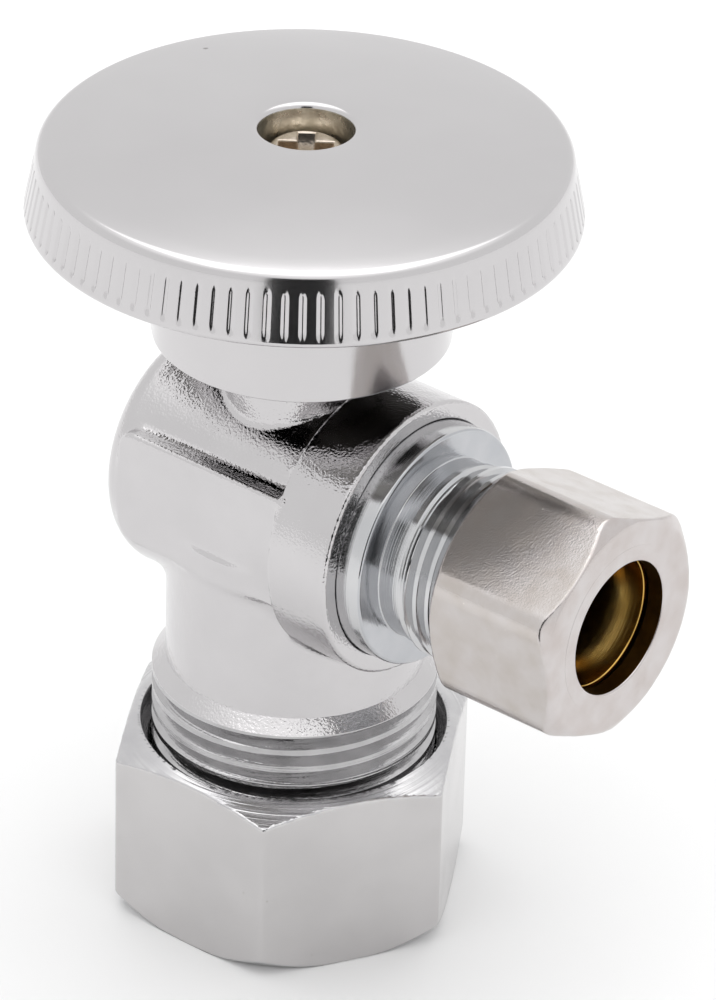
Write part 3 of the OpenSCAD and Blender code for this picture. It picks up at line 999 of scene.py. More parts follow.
def groove_tree() -> bpy.types.NodeTree:
    """The tree that presses evenly spaced grooves with pointed ends into a skirt round the Z axis."""
    number = "NodeSocketFloat"
    tree, given = new_tree("skirt_grooves", {
        "Count": number, "Width": number, "Depth": number, "Low": number, "High": number,
        "Inner": number, "Material": "NodeSocketMaterial"})
    get = given.outputs
    along, away, radius, angle = radial_parts(tree, (0.0, 0.0, 0.0), (0.0, 0.0, 1.0), (1.0, 0.0, 0.0))
    steps = add(tree, MATH, {0: angle, 1: get["Count"]}, operation="MULTIPLY")
    turns = add(tree, MATH, {0: steps, 1: 1 / (2 * math.pi), 2: 0.5}, operation="MULTIPLY_ADD")
    spacing = add(tree, MATH, {0: radius, 1: get["Count"]}, operation="DIVIDE")
    arc = add(tree, MATH, {0: off_middle(tree, turns), 1: spacing}, operation="MULTIPLY")
    arc = add(tree, MATH, {0: arc, 1: 2 * math.pi}, operation="MULTIPLY")
    ends = add(tree, MATH, {0: get["Low"], 1: get["High"]}, operation="ADD")
    middle = add(tree, MATH, {0: ends, 1: 0.5}, operation="MULTIPLY")
    length = add(tree, MATH, {0: get["High"], 1: get["Low"]}, operation="SUBTRACT")
    reach = add(tree, MATH, {0: along, 1: middle}, operation="SUBTRACT")
    reach = add(tree, MATH, {0: reach}, operation="ABSOLUTE")
    reach = add(tree, MATH, {0: reach, 1: length}, operation="DIVIDE")
    narrowing = add(tree, RANGE, {0: reach, 1: 0.36, 2: 0.5, 3: 1.0, 4: 0.05})
    half_width = add(tree, MATH, {0: get["Width"], 1: narrowing}, operation="MULTIPLY")
    half_width = add(tree, MATH, {0: half_width, 1: 0.5}, operation="MULTIPLY")
    near = add(tree, MATH, {0: arc, 1: half_width}, operation="DIVIDE")
    hollow = add(tree, RANGE, {0: near, 1: 0.0, 2: 1.0, 3: 1.0, 4: 0.0}, interpolation_type="SMOOTHSTEP")
    fade = add(tree, RANGE, {0: reach, 1: 0.38, 2: 0.5, 3: 1.0, 4: 0.0}, interpolation_type="SMOOTHSTEP")
    outside = add(tree, MATH, {0: radius, 1: get["Inner"]}, operation="GREATER_THAN")
    depth = get["Depth"]
    for factor in (hollow, fade, outside):
        depth = add(tree, MATH, {0: depth, 1: factor}, operation="MULTIPLY")
    end_tree(tree, given, pull_in(tree, away, radius, depth))
    return tree


def bake(obj: bpy.types.Object, tree: bpy.types.NodeTree, values: dict[str, Any], crease: float) -> None:
    """Runs a geometry tree on an object and keeps the result as its mesh.

    Args:
        obj: The mesh object.
        tree: The tree to run.
        values: Value of each named input, lengths in metres.
        crease: Sharp edge angle of the result, in degrees.
    """
    modifier = obj.modifiers.new("shape", "NODES")
    modifier.node_group = tree
    for item in tree.interface.items_tree:
        if item.in_out == "INPUT" and item.name in values:
            modifier[item.identifier] = values[item.name]
    depsgraph = bpy.context.evaluated_depsgraph_get()
    mesh = bpy.data.meshes.new_from_object(obj.evaluated_get(depsgraph))
    obj.modifiers.clear()
    obj.data = mesh
    mesh.name = obj.name
    mesh.shade_smooth()
    mesh.set_sharp_from_angle(angle=math.radians(crease))


@dataclass(frozen=True)
class MaleThread:
    """A right-hand outside thread on a turned piece, sizes in millimetres."""

    crest: float
    pitch: float
    start: float
    end: float
    axis: Axis
    phase: float = 0.0
    fade: float = 0.6
    rows: int = 20

    def helix(self, at: int) -> tuple[int, float, int, float]:
        """How wound() lays its rows along this thread, on the stretch after an outline point."""
        return at, self.pitch, self.rows, self.phase

    def cut(self, obj: bpy.types.Object, finish: Finish, crease: float = 26.0) -> None:
        """Cuts the thread into the piece."""
        upright = self.axis is Axis.Z
        bake(obj, thread_tree(), {
            "Crest": self.crest * MM, "Depth": THREAD_DEPTH * self.pitch * MM, "Pitch": self.pitch * MM,
            "Start": self.start * MM, "End": self.end * MM, "Fade": self.fade * MM, "Phase": self.phase * MM,
            "Centre": (0.0, 0.0, 0.0 if upright else AXIS_H * MM),
            "Axis": (0.0, 0.0, 1.0) if upright else (1.0, 0.0, 0.0),
            "Zero": (1.0, 0.0, 0.0) if upright else (0.0, 1.0, 0.0),
            "Material": finish.material()}, crease)


# ---------------------------------------------------------------- sub-assemblies


def keep(piece: bpy.types.Object, body: str, slot: str, *nodes: str) -> bpy.types.Object:
    """Tells the frame what a piece rides on and which nodes it stands for.

    Args:
        piece: The piece.
        body: The body that it rides on.
        slot: Its material slot; not used.
        nodes: The nodes that it stands for.

    Returns:
        The piece.
    """
    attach(piece, body)
    if nodes:
        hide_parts(*nodes)
    LOG.info("%s on %s: %d faces", piece.name, body, len(piece.data.polygons))
    return piece


@dataclass
class ForgedBody:
    """The valve body: one forging with barrel, ring, cheeks, inlet neck and stem boss."""

    barrel_r: float = 9.2
    barrel_back: float = -11.0
    ring_r: float = 10.15
    ring_back: float = 5.6
    ring_front: float = 10.8
    cheek_y: float = 9.1
    cheek_back: float = -9.2
    cheek_top: float = 5.0
    cheek_bottom: float = -3.9
    neck_r: float = 9.35
    boss_r: float = 5.4
    boss_top: float = 51.0
    thread_low: float = 8.7
    thread_top: float = 18.65
    cell: float = 0.27

    def outside(self, x: Array, y: Array, z: Array) -> Array:
        """Distance to the outer shape.

        Args:
            x: Positions along X in millimetres.
            y: Positions along Y.
            z: Heights.

        Returns:
            The distance field, negative inside.
        """
        h = z - AXIS_H
        across = np.hypot(y, h)
        upright = np.hypot(x, y)
        body = rod(across, x, self.barrel_r, self.barrel_back, self.ring_back + 1, 2.0)
        half_h = (self.cheek_top - self.cheek_bottom) / 2
        corner = 1.6
        px = np.maximum(self.cheek_back + corner - x, -corner)
        ph = np.maximum(np.abs(h - (self.cheek_top + self.cheek_bottom) / 2) - half_h + corner, -corner)
        profile = np.hypot(np.maximum(px, 0), np.maximum(ph, 0)) + np.minimum(np.maximum(px, ph), 0) - corner
        profile = np.maximum(profile, x - self.ring_back - 0.5)
        cheeks = rod(profile, y, 0.0, -self.cheek_y, self.cheek_y, 0.35)
        body = smooth_min(body, cheeks, 0.45)
        neck = rod(upright, z, self.neck_r, self.thread_top + 0.55, AXIS_H - 2, 0.0)
        body = smooth_min(body, neck, 0.8)
        boss = rod(upright, z, self.boss_r, AXIS_H, self.boss_top, 0.25)
        body = smooth_min(body, boss, 0.35)
        ring = rod(across, x, self.ring_r, self.ring_back, self.ring_front, 0.3)
        body = smooth_min(body, ring, 0.35)
        angle = np.abs(np.arctan2(y, -x))
        lug = np.maximum(rod(upright, z, 8.3, 46.8, 50.6, 0.3), (angle - math.radians(LUG_HALF)) * upright)
        return np.minimum(body, lug)

    def hollow(self, x: Array, y: Array, z: Array) -> Array:
        """Distance to the waterways and machined recesses.

        Args:
            x: Positions along X in millimetres.
            y: Positions along Y.
            z: Heights.

        Returns:
            The distance field, negative in the hollows.
        """
        h = z - AXIS_H
        across = np.hypot(y, h)
        upright = np.hypot(x, y)
        parts = (
            rod(upright, z, INLET_TUBE_R, 0.0, 16.0),
            rod(upright, z, 4.6, 15.0, AXIS_H),
            rod(across, x, 6.7, -8.2, 9.0),
            rod(across, x, 7.55, 5.0, 20.0),
            rod(across, x, 8.85, 10.0, 20.0),
            rod(upright, z, 4.7, AXIS_H, AXIS_H + 7.62),
            rod(upright, z, 3.25, AXIS_H, 60.0),
        )
        field = parts[0]
        for part in parts[1:]:
            field = np.minimum(field, part)
        return field

    def field(self, x: Array, y: Array, z: Array) -> Array:
        """Distance to the finished shell."""
        return smooth_max(self.outside(x, y, z), -self.hollow(x, y, z), 0.12)

    def build(self) -> None:
        """Makes the shell and the threaded inlet end."""
        low = (self.barrel_back, -self.ring_r, self.thread_top + 0.55)
        high = (self.ring_front, self.ring_r, self.boss_top)
        shell = solid("body_shell", self.field, low, high, self.cell, 40.0)
        dress(shell, (FORGED_CHROME, BRASS_UPRIGHT), self.finish_of)
        keep(shell, "body", "cast_chrome", "valve_body")
        keep(self.inlet_end(), "body", "cast_chrome", "valve_body")

    def finish_of(self, centres: Array, normals: Array) -> Array:
        """Plate outside, bare brass in the waterways."""
        upright = np.hypot(centres[:, 0], centres[:, 1])
        return (self.hollow(*centres.T) < 0.12) & (centres[:, 0] < 9.5) & (upright < 8.9)

    def inlet_end(self) -> bpy.types.Object:
        """Makes the male thread that the inlet nut runs on.

        Returns:
            The piece, cut and dressed.
        """
        neck = self.thread_top + INLET_CREST_R - self.neck_r
        mouth = 9.35
        root = INLET_CREST_R - THREAD_DEPTH * INLET_PITCH
        thread = MaleThread(INLET_CREST_R, INLET_PITCH, self.thread_low + 0.15, self.thread_top - 0.02,
                            Axis.Z, phase=INLET_CREST_AT)
        outline = rounded([
            (INLET_TUBE_R, 16.0), (INLET_TUBE_R, self.thread_low + mouth - INLET_TUBE_R),
            (mouth, self.thread_low), (root, self.thread_low), (root, thread.start),
            (INLET_CREST_R, thread.end), (INLET_CREST_R, self.thread_top + 0.03),
            (self.neck_r - 0.02, neck), (self.neck_r - 0.6, neck), (self.neck_r - 0.6, 16.0)])
        piece = turned("inlet_thread", outline, Axis.Z, even_angles(320), 28.0, thread.helix(4))
        thread.cut(piece, CUT_CHROME)
        dress(piece, (CUT_CHROME, FORGED_CHROME, BRASS_UPRIGHT), self.inlet_finish_of)
        return piece

    def inlet_finish_of(self, centres: Array, normals: Array) -> Array:
        """Cut thread, forged chamfer above it, brass in the bore.

        Args:
            centres: Face centres in millimetres.
            normals: Face normals; not used.

        Returns:
            Each face's material slot.
        """
        radius = np.hypot(centres[:, 0], centres[:, 1])
        slots = np.where(centres[:, 2] > self.thread_top, 1, 0)
        bored = (radius < INLET_TUBE_R + 1.2) & (centres[:, 2] < 17.0)
        return np.where(bored, 2, slots)


@dataclass
class OutletAdapter:
    """The turned fitting that closes the barrel and carries the outlet thread."""

    stub_back: float = 5.1
    stub_r: float = 7.5
    flange_back: float = 10.02
    flange_r: float = 8.81
    flange_front: float = 12.8
    relief_end: float = 14.1
    thread_start: float = 14.8
    end: float = 21.6
    mouth_r: float = 6.0
    relief_r: float = 6.7

    def build(self) -> None:
        """Makes the adapter with its thread."""
        root = OUTLET_CREST_R - THREAD_DEPTH * OUTLET_PITCH
        thread = MaleThread(OUTLET_CREST_R, OUTLET_PITCH, self.thread_start + 0.1, self.end - 0.55, Axis.X)
        outline = rounded([
            (3.6, 7.9), (6.65, 7.9), (6.65, self.stub_back), (self.stub_r, self.stub_back),
            (self.stub_r, 8.5), (6.5, 8.5), (6.5, 9.7), (self.stub_r, 9.7),
            (self.stub_r, self.flange_back), (self.flange_r, self.flange_back, 0.25),
            (self.flange_r, self.flange_front, 0.28), (root + 0.08, self.flange_front, 0.12),
            (root + 0.08, self.relief_end), (root + 0.2, self.relief_end + 0.1),
            (root + 0.2, self.thread_start - 0.2), (root, self.thread_start), (root, thread.start),
            (OUTLET_CREST_R, thread.end), (self.mouth_r + 0.35, self.end),
            (self.mouth_r, self.end), (OUTLET_TUBE_R, self.end - self.mouth_r + OUTLET_TUBE_R),
            (OUTLET_TUBE_R, 15.5), (3.6, 15.5)])
        at = outline.index((root, thread.start))
        piece = turned("outlet_fitting", outline, Axis.X, even_angles(288), 28.0, thread.helix(at))
        thread.cut(piece, TURNED_CHROME)
        dress(piece, (TURNED_CHROME, BRASS_BORE, FLANGE_CHROME), self.finish_of)
        keep(piece, "body", "turned_chrome", "outlet_adapter")

    def finish_of(self, centres: Array, normals: Array) -> Array:
        """Plate outside, bare brass in the bore, its own turned plate on the flange.

        Args:
            centres: Face centres in millimetres.
            normals: Face normals.

        Returns:
            Each face's material slot.
        """
        radius = np.hypot(centres[:, 1], centres[:, 2] - AXIS_H)
        flange = (radius > self.relief_r) & (centres[:, 0] < self.flange_front + 0.1)
        flange &= normals[:, 0] > 0.6
        return np.where(radius < OUTLET_TUBE_R + 0.15, 1, np.where(flange, 2, 0))


@dataclass
class RoundHandle:
    """The domed round handle with its grooved skirt and the collar under it."""

    rim_r: float = 19.5
    shoulder_r: float = 18.6
    top: float = 62.0
    shoulder: float = 59.7
    skirt_low: float = 55.2
    collar_r: float = 10.55
    collar_low: float = 46.05
    well_r: float = 3.3
    well_floor: float = 58.1
    count: int = 100
    groove_w: float = 0.52
    groove_depth: float = 0.135
    groove_low: float = 55.75
    groove_high: float = 59.25
    rib_inner: float = 5.7
    rib_outer: float = 8.85
    rib_low: float = 46.6
    rib_high: float = 52.0

    def dome(self, r: float) -> float:
        """Height of the top at a radius."""
        return self.top - (self.top - self.shoulder - 0.8) * (r / (self.shoulder_r - 1.1)) ** 2

    def outline(self) -> list[Point]:
        """Section of the casting, from the well out over the top and back along the underside.

        Returns:
            The points of the closed outline.
        """
        corners: list[tuple[float, ...]] = [
            (2.2, self.well_floor), (self.well_r - 0.1, self.well_floor, 0.3),
            (self.well_r, self.dome(self.well_r), 0.42)]
        corners += [(r, self.dome(r)) for r in (5.0, 7.0, 9.0, 11.0, 13.0, 14.5, 15.7, 16.6)]
        corners += [
            (self.shoulder_r - 0.12, self.shoulder + 0.62, 0.85), (self.rim_r, self.skirt_low, 0.42),
            (18.05, self.skirt_low, 0.2), (17.0, 57.2, 0.6), (10.3, 58.4, 1.4),
            (self.collar_r, self.collar_low, 0.14), (8.8, self.collar_low, 0.1), (8.8, 51.9, 0.3),
            (3.3, 51.9), (3.3, 56.8), (2.2, 56.8)]
        outline = rounded(corners, 7)
        return divided(outline, self.groove_low - 0.4, self.groove_high + 0.3, 18.55, 0.2)

    def angles(self) -> list[float]:
        """Columns crowded round each groove, so that a groove is cut by several of them.

        Returns:
            The angles in radians, rising.
        """
        pitch = 2 * math.pi / self.count
        half = self.groove_w / 2 / self.rim_r
        steps = (0.0, 0.5, 1.0, 1.2)
        local = [*sorted({s * t * half for t in steps for s in (-1, 1)}), pitch / 2]
        return [i * pitch + a for i in range(self.count) for a in local]

    def build(self) -> None:
        """Makes the handle and the rib that stops it."""
        piece = turned("round_handle", self.outline(), Axis.Z, self.angles(), 40.0)
        bake(piece, groove_tree(), {
            "Count": float(self.count), "Width": self.groove_w * MM, "Depth": self.groove_depth * MM,
            "Low": self.groove_low * MM, "High": self.groove_high * MM, "Inner": 18.5 * MM,
            "Material": HANDLE_CHROME.material()}, 100.0)
        # the collar's cavity takes painted shade, the well's wall a painted reflection
        dress(piece, (HANDLE_CHROME, CAST_UNDERSIDE, COLLAR_PAINTED_SHADE, WELL_WALL), self.finish_of)
        keep(piece, "handle_and_stem", "handle_chrome", "handle")
        rib = self.stop_rib()
        # the rib sits in the collar's cavity and takes its painted shade
        dress(rib, (COLLAR_PAINTED_SHADE,))
        keep(rib, "handle_and_stem", "handle_chrome", "handle")

    def finish_of(self, centres: Array, normals: Array) -> Array:
        """Polished plate outside, raw casting under the disc, painted shade in the collar, painted reflection
        on the well's wall.

        Args:
            centres: Face centres in millimetres.
            normals: Face normals.

        Returns:
            Each face's material slot.
        """
        radius = np.hypot(centres[:, 0], centres[:, 1])
        z = centres[:, 2]
        under = (normals[:, 2] < -0.2) & (radius > 11.5) & (radius < 18.1)
        under |= (radius < 18.1) & (radius > 11.6) & (z < 58.5)
        # painted shade: the collar's deep cavity is coloured near black
        cavity = (radius < 8.9) & (z < 57)
        # painted reflection: the well's wall is coloured brighter than its plate
        well = (radius < self.well_r + 0.03) & (z > 57.5) & (z < self.dome(self.well_r) - 0.35)
        return np.where(well, 3, np.where(cavity, 2, np.where(under, 1, 0)))

    def stop_rib(self) -> bpy.types.Object:
        """Makes the rib in the collar that runs up against the lug on the boss."""
        reach = self.rib_outer + 0.05
        low, high = (-reach, -reach, self.rib_low - 0.1), (reach, reach, self.rib_high)
        return solid("stop_rib", self.rib_field, low, high, 0.3, 40.0)

    def rib_field(self, x: Array, y: Array, z: Array) -> Array:
        """Distance to the stop rib.

        Args:
            x: Positions along X in millimetres.
            y: Positions along Y.
            z: Heights.

        Returns:
            The distance field, negative inside.
        """
        radius = np.hypot(x, y)
        ring = rod(radius, z, self.rib_outer, self.rib_low, self.rib_high, 0.15)
        ring = np.maximum(ring, self.rib_inner - radius)
        half = (360 - 2 * LUG_HALF - HANDLE_SWEEP) / 2 - STOP_SLACK
        off = np.arctan2(y, x) - math.radians(180 + LUG_HALF + HANDLE_SWEEP + STOP_SLACK + half)
        turn = np.abs(np.arctan2(np.sin(off), np.cos(off)))
        return np.maximum(ring, (turn - math.radians(half)) * radius)


@dataclass
class HandleScrew:
    """The pan-head cross-recess screw that holds the handle on its stem."""

    head_low: float = 58.12
    head_h: float = 2.35
    head_r: float = 2.75
    shank_r: float = 1.9
    length: float = 10.0
    recess_depth: float = 1.9

    def field(self, x: Array, y: Array, z: Array) -> Array:
        """Distance to the screw.

        Args:
            x: Positions along X in millimetres.
            y: Positions along Y.
            z: Heights.

        Returns:
            The distance field, negative inside.
        """
        radius = np.hypot(x, y)
        top = self.head_low + self.head_h
        head = rod(radius, z, self.head_r, self.head_low, top, 0.85)
        head = np.minimum(head, rod(radius, z, self.head_r, self.head_low, self.head_low + 1.0, 0.05))
        shank = rod(radius, z, self.shank_r, self.head_low - self.length, self.head_low + 0.2, 0.2)
        groove = (1 - thread_wave(np.arctan2(y, x), z, 0.7)) * 0.35 * (z < self.head_low - 0.6)
        body = np.minimum(head, shank + groove)
        deep = np.clip((top - z) / self.recess_depth, 0, 1)
        half_l = 1.95 - 0.9 * deep
        half_w = 0.62 - 0.28 * deep
        floor = top - self.recess_depth - z
        turn = math.radians(38)
        u = x * math.cos(turn) + y * math.sin(turn)
        v = y * math.cos(turn) - x * math.sin(turn)
        one = np.maximum(np.abs(u) - half_l, np.abs(v) - half_w)
        two = np.maximum(np.abs(v) - half_l, np.abs(u) - half_w)
        core = (np.abs(u) + np.abs(v)) - 1.05 + 0.35 * deep
        recess = np.maximum(smooth_min(np.minimum(one, two), core * 0.7, 0.12), floor)
        return smooth_max(body, -recess, 0.14)

    def build(self) -> None:
        """Makes the screw."""
        low = (-self.head_r, -self.head_r, self.head_low - self.length)
        high = (self.head_r, self.head_r, self.head_low + self.head_h)
        piece = solid("cross_recess_screw", self.field, low, high, 0.1, 40.0)
        dress(piece, (SCREW_STEEL,))
        keep(piece, "handle_and_stem", "screw_steel", "handle_screw")


@dataclass
class CompressionNut:
    """A hexagonal nut bored for a tube, coned for its sleeve and threaded to its open end.

    Positions along the nut run from its closed face, at 0, to its open face.

    Attributes:
        face: Position of the closed face on the row's axis.
        turn: Angle of one corner of the hexagon, in degrees.
        hole: How deep the tube hole runs before the cone.
        closed_end: Radius that the closed end is turned to, and how far the turning reaches down.
        open_end: The same for the open end.
        mouth_r: Radius of the mouth where it is wider than the bore, or 0.
        corner_r: Radius of the hexagon's corners.
        edge: Reach of the rounding on its long edges.
        phase: Position of one thread crest at angle 0.
        recess: How far the end faces stay inside the nut's length.
        thread_share: Share of the thread's depth that is drawn.
        lead: Length of the open end's lead-in.
    """

    name: str
    body: str
    slot: str
    node: str
    axis: Axis
    face: float
    across_flats: float
    length: float
    turn: float
    tube_r: float
    crest_r: float
    pitch: float
    hole: float
    closed_end: Point
    open_end: Point
    mouth_r: float
    finishes: tuple[Finish, Finish, Finish]
    cell: float
    corner_r: float
    edge: float = 0.3
    phase: float = 0.0
    recess: float = 0.006
    thread_share: float = 0.28
    lead: float = 1.6

    def local(self, x: Array, y: Array, z: Array) -> tuple[Array, Array, Array]:
        """Coordinates across the nut and along it from its closed face.

        Args:
            x: Positions along X in millimetres.
            y: Positions along Y.
            z: Heights.

        Returns:
            Two coordinates across the nut and the position along it.
        """
        if self.axis is Axis.Z:
            return x, y, z - self.face
        return y, z - AXIS_H, self.face - x

    def hollow(self, u: Array, v: Array, t: Array) -> Array:
        """Distance to the bore, cone and internal thread.

        Args:
            u: First coordinate across the nut.
            v: Second coordinate across it.
            t: Position along it.

        Returns:
            The distance field, negative in the hollow.
        """
        radius = np.hypot(u, v)
        bore = self.crest_r + NUT_GAP
        cone_end = self.hole + bore - self.tube_r
        along = t + self.face if self.axis is Axis.Z else self.face - t
        wave = thread_wave(np.arctan2(v, u), along - self.phase, self.pitch)
        faded = np.clip((t - cone_end - 0.5) / 0.8, 0, 1) * np.clip((self.length - 1.4 - t) / 0.6, 0, 1)
        threaded = radius - (bore + THREAD_DEPTH * self.pitch * self.thread_share * wave * faded)
        wide = np.maximum(threaded, cone_end - t)
        sloped = np.maximum(cone(radius, t, self.tube_r, self.hole, 1.0), self.hole - t)
        sloped = np.maximum(sloped, t - (cone_end + 0.01))
        field = np.minimum(np.minimum(rod(radius, t, self.tube_r, -2.0, self.length + 2), wide), sloped)
        if self.mouth_r <= bore:
            return field
        lead_start = self.length - self.lead
        mouth = np.maximum(radius - self.mouth_r, lead_start + self.mouth_r - bore - t)
        lead = np.maximum(cone(radius, t, bore, lead_start, 1.0), lead_start - t)
        return np.minimum(field, np.minimum(mouth, np.maximum(lead, radius - self.mouth_r)))

    def field(self, x: Array, y: Array, z: Array) -> Array:
        """Distance to the nut.

        Args:
            x: Positions along X in millimetres.
            y: Positions along Y.
            z: Heights.

        Returns:
            The distance field, negative inside.
        """
        u, v, t = self.local(x, y, z)
        radius = np.hypot(u, v)
        bar = hexagon(u, v, self.across_flats, self.turn, self.edge)
        for (end_r, drop), distance in ((self.closed_end, t), (self.open_end, self.length - t)):
            slope = (self.corner_r - end_r) / drop
            bar = smooth_max(bar, cone(radius, distance, end_r, 0.0, slope), 0.16)
            bar = smooth_max(bar, -distance + self.recess, 0.14)
        return smooth_max(bar, -self.hollow(u, v, t), 0.14)

    def finish_of(self, centres: Array, normals: Array) -> Array:
        """Drawn flats, turned ends and the bore.

        Args:
            centres: Face centres in millimetres.
            normals: Face normals.

        Returns:
            Each face's material slot.
        """
        u, v, t = self.local(*centres.T)
        tilt = np.abs(normals[:, 2] if self.axis is Axis.Z else normals[:, 0])
        inside = self.hollow(u, v, t) < 0.1
        return np.where(inside, 2, np.where(tilt > 0.25, 1, 0))

    def build(self) -> None:
        """Makes the nut."""
        reach = self.across_flats / math.sqrt(3)
        if self.axis is Axis.Z:
            low, high = (-reach, -reach, self.face), (reach, reach, self.face + self.length)
        else:
            low = (self.face - self.length, -reach, AXIS_H - reach)
            high = (self.face, reach, AXIS_H + reach)
        piece = solid(self.name, self.field, low, high, self.cell, 40.0)
        dress(piece, self.finishes, self.finish_of)
        keep(piece, self.body, self.slot, self.node)
        if self.axis is Axis.X:
            self.hole_edge()

    def hole_edge(self) -> None:
        """Makes the drilled tube hole with its broken edge, as a ring set in the nut's end."""
        true_r, depth = OUTLET_TUBE_R, self.hole
        outline = rounded([
            (true_r, self.face - depth), (true_r, self.face, 0.16), (self.tube_r + 1.1, self.face),
            (self.tube_r + 1.1, self.face - 0.4), (self.tube_r + 0.2, self.face - 0.4),
            (self.tube_r + 0.2, self.face - depth)])
        ring = turned("small_nut_hole", outline, Axis.X, even_angles(180))
        dress(ring, (self.finishes[1], self.finishes[2]), self.hole_finish)
        keep(ring, self.body, self.slot, self.node)

    def hole_finish(self, centres: Array, normals: Array) -> Array:
        """Plate on the face and the broken edge, brass down the hole."""
        return np.hypot(centres[:, 1], centres[:, 2] - AXIS_H) < OUTLET_TUBE_R + 0.01


def inlet_nut() -> CompressionNut:
    """The large nut that squeezes the sleeve onto the supply tube."""
    return CompressionNut(
        name="large_hex_nut", body="inlet_nut", slot="nut_plate", node="inlet_nut", axis=Axis.Z, face=0.0,
        across_flats=23.8, length=13.9, turn=1.0, tube_r=INLET_TUBE_R, crest_r=INLET_CREST_R,
        pitch=INLET_PITCH, hole=1.9, closed_end=(12.1, 1.45), open_end=(11.2, 1.15), mouth_r=11.1,
        finishes=(NUT_PLATE, NUT_TURNED, CUT_CHROME), cell=0.24, corner_r=13.74,
        phase=INLET_CREST_AT)


def outlet_nut() -> CompressionNut:
    """The small nut that squeezes the sleeve onto the riser tube."""
    return CompressionNut(
        name="small_hex_nut", body="outlet_nut", slot="nut_nickel", node="outlet_nut", axis=Axis.X,
        face=28.8, across_flats=15.875, length=10.5, turn=-22.0, tube_r=OUTLET_TUBE_R + 0.12,
        crest_r=OUTLET_CREST_R, pitch=OUTLET_PITCH, hole=1.3, closed_end=(7.85, 0.75),
        open_end=(7.85, 0.75), mouth_r=0.0, finishes=(NUT_NICKEL, NICKEL_TURNED, BRASS_BORE), cell=0.18,
        corner_r=8.9, edge=1.0)


@dataclass
class OutletSleeve:
    """The brass sleeve in the outlet nut, whose rim shows inside the nut's hole."""

    low: float = 22.5
    high: float = 27.15
    bore_r: float = 4.82
    end_r: float = 5.15
    middle_r: float = 6.1

    def build(self) -> None:
        """Makes the sleeve."""
        taper = self.middle_r - self.end_r
        outline = rounded([
            (self.bore_r, self.low, 0.1), (self.end_r, self.low, 0.1), (self.middle_r, self.low + taper, 0.3),
            (self.middle_r, self.high - taper, 0.3), (self.end_r, self.high, 0.1),
            (self.bore_r, self.high, 0.12)])
        piece = turned("outlet_sleeve_ring", outline, Axis.X, even_angles(160))
        dress(piece, (BRASS_RIM,))
        keep(piece, "outlet_sleeve", "brass", "outlet_ferrule")


@dataclass
class InnerParts:
    """The parts made right by the frame, which only need their finish."""

    frame: dict[str, Any]

    def build(self) -> None:
        """Dresses each part."""
        finishes = {
            "ball": BALL_CHROME, "rear_seat": PTFE, "outlet_seat": PTFE, "stem_thrust_washer": PTFE,
            "adapter_o_ring": RUBBER, "stem_o_ring_lower": RUBBER, "stem_o_ring_upper": RUBBER,
            "stem": BRASS_UPRIGHT, "inlet_ferrule": BRASS_UPRIGHT}
        for name, finish in finishes.items():
            dress(self.frame["nodes"][name], (finish,))
            LOG.info("%s keeps its mesh, finished as %s", name, finish.name)


# ---------------------------------------------------------------- studio


def direction(azimuth: float, elevation: float) -> Vector:
    """Unit vector from the valve towards an azimuth and an elevation in degrees, 0 being the front."""
    a, e = math.radians(azimuth), math.radians(elevation)
    return Vector((math.sin(a) * math.cos(e), -math.cos(a) * math.cos(e), math.sin(e)))


@dataclass(frozen=True)
class Viewpoint:
    """Where the camera stands: angles in degrees, lengths in millimetres."""

    azimuth: float = 38.851
    elevation: float = 30.807
    roll: float = -1.565
    distance: float = 426.486
    aim: tuple[float, float, float] = (5.452, 0.0, 34.22)
    lens: float = 217.95

    def matrix(self) -> Matrix:
        """The camera's place and turn, in metres."""
        a, r = math.radians(self.azimuth), math.radians(self.roll)
        back = direction(self.azimuth, self.elevation)
        right = Vector((math.cos(a), math.sin(a), 0.0))
        up = back.cross(right)
        x = right * math.cos(r) - up * math.sin(r)
        y = right * math.sin(r) + up * math.cos(r)
        place = (Vector(self.aim) + back * self.distance) * MM
        return Matrix.Translation(place) @ Matrix((x, y, back)).transposed().to_4x4()

    def build(self) -> None:
        """Makes the camera."""
        data = bpy.data.cameras.new("camera")
        data.lens = self.lens
        data.sensor_width = 36.0
        data.clip_start = 0.01
        data.clip_end = 20.0
        camera = linked("camera", data)
        camera.matrix_world = self.matrix()
        bpy.context.scene.camera = camera
        LOG.info("camera at %s", tuple(round(v, 4) for v in camera.location))


@dataclass(frozen=True)
class Lamp:
    """A soft area light that looks at the valve: angles in degrees, lengths in metres."""

    name: str
    azimuth: float
    elevation: float
    distance: float
    width: float
    height: float
    power: float

    def build(self, target: Vector) -> None:
        """Makes the light.

        Args:
            target: The point that it looks at, in metres.
        """
        data = bpy.data.lights.new(self.name, "AREA")
        data.shape = "RECTANGLE"
        data.size, data.size_y = self.width, self.height
        data.energy = self.power
        light = linked(self.name, data)
        back = direction(self.azimuth, self.elevation)
        light.location = target + back * self.distance
        light.rotation_euler = back.to_track_quat("Z", "Y").to_euler()


@dataclass(frozen=True)
class Card:
    """A dark card that the chrome reflects: it shows in reflections only. Lengths in metres."""

    name: str
    azimuth: float
    distance: float
    width: float
    low: float
    high: float

    def build(self) -> None:
        """Makes the card, upright and facing the valve."""
        out = direction(self.azimuth, 0.0) * self.distance
        side = direction(self.azimuth + 90.0, 0.0) * self.width / 2
        corners = ((-1, self.low), (1, self.low), (1, self.high), (-1, self.high))
        points = [out + side * way + Vector((0, 0, height)) for way, height in corners]
        mesh = bpy.data.meshes.new(self.name)
        mesh.from_pydata([tuple(p) for p in points], [], [(0, 1, 2, 3)])
        card = linked(self.name, mesh)
        card.visible_camera = False
        card.visible_shadow = False
        card.visible_diffuse = False
        mesh.materials.append(BLACK_PAPER.material())


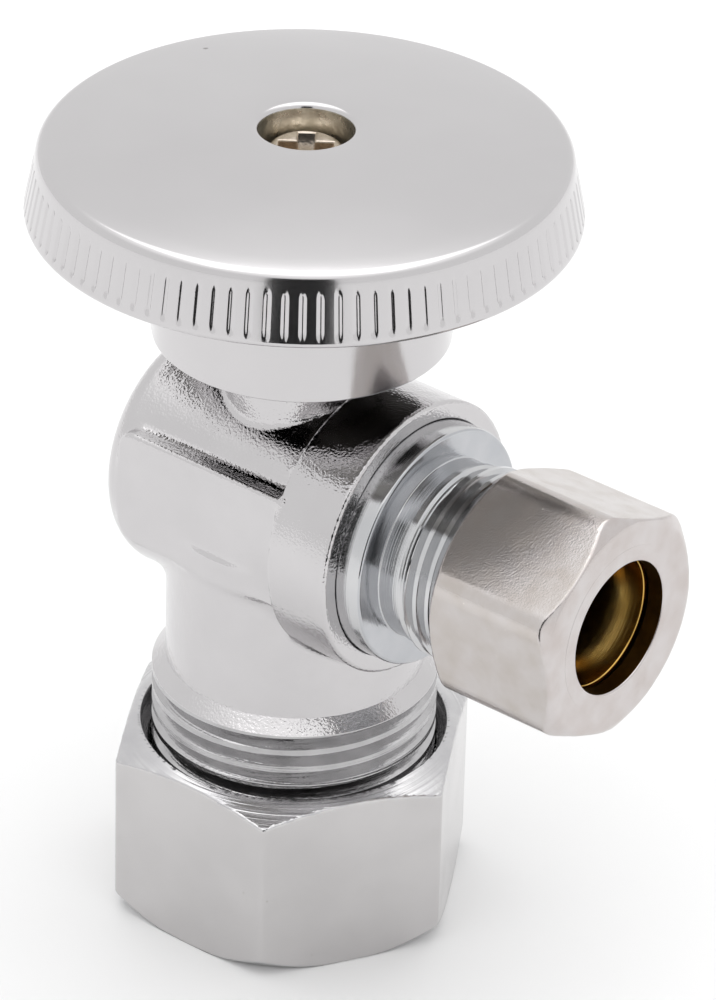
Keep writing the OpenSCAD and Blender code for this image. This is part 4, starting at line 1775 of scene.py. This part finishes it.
@dataclass
class Studio:
    """Floor, light, card, surroundings and camera.

    Attributes:
        horizon: Brightness of the surroundings up to low_height.
        zenith: Brightness from high_height up.
        low_height: Height of a direction, 0 level and 1 upright, where the brightness starts to rise.
        high_height: Height where it has risen.
        floor_radii: Rings of the floor in millimetres.
        floor_drop: How far the floor lies under the valve, in millimetres.
    """

    horizon: float = 0.98
    zenith: float = 1.45
    low_height: float = 0.6
    high_height: float = 0.92
    floor_radii: tuple[float, ...] = (60.0, 300.0, 1500.0)
    floor_drop: float = 0.02

    def build(self) -> None:
        """Makes everything that is not the valve."""
        bpy.context.scene.view_settings.view_transform = "Standard"
        self.world()
        self.floor()
        Lamp("top_soft_box", azimuth=218.85, elevation=82.0, distance=1.2, width=1.3, height=1.3,
             power=3.2).build(Vector((0.0, 0.0, 0.035)))
        Card("front_card", azimuth=38.85, distance=0.13, width=0.060, low=0.001, high=0.15).build()
        Viewpoint().build()

    def world(self) -> None:
        """White surroundings, a little greyer towards the horizon."""
        world = bpy.data.worlds.new("studio")
        bpy.context.scene.world = world
        world.use_nodes = True
        tree = world.node_tree
        tree.nodes.clear()
        direction = add(tree, "ShaderNodeTexCoord", out="Generated")
        height = add(tree, "ShaderNodeSeparateXYZ", {0: direction}, out="Z")
        level = add(tree, RANGE, {0: height, 1: self.low_height, 2: self.high_height, 3: self.horizon,
                                  4: self.zenith}, interpolation_type="SMOOTHSTEP")
        surround = add(tree, "ShaderNodeBackground", {"Color": linear("#FFFFFF"), "Strength": level})
        add(tree, "ShaderNodeOutputWorld", {0: surround})

    def floor(self) -> None:
        """A pale matt sweep that the valve stands on."""
        angles = even_angles(64)
        points = [(r * math.cos(a), r * math.sin(a), -self.floor_drop)
                  for r in self.floor_radii for a in angles]
        points.append((0.0, 0.0, -self.floor_drop))
        faces: list[tuple[int, ...]] = []
        n = len(angles)
        for k in range(n):
            q = (k + 1) % n
            faces.append((len(points) - 1, k, q))
            faces.extend((i * n + k, (i + 1) * n + k, (i + 1) * n + q, i * n + q)
                         for i in range(len(self.floor_radii) - 1))
        mesh = bpy.data.meshes.new("floor")
        mesh.from_pydata([tuple(c * MM for c in p) for p in points], [], faces)
        floor = linked("floor", mesh)
        mesh.materials.append(PALE_SWEEP.material())


def main() -> None:
    """Builds the valve and its studio."""
    logging.basicConfig(level=logging.INFO, format="%(message)s")
    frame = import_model()
    for part in (Studio(), ForgedBody(), OutletAdapter(), RoundHandle(), HandleScrew(), inlet_nut(),
                 outlet_nut(), OutletSleeve(), InnerParts(frame)):
        part.build()


if __name__ == "__main__":
    main()
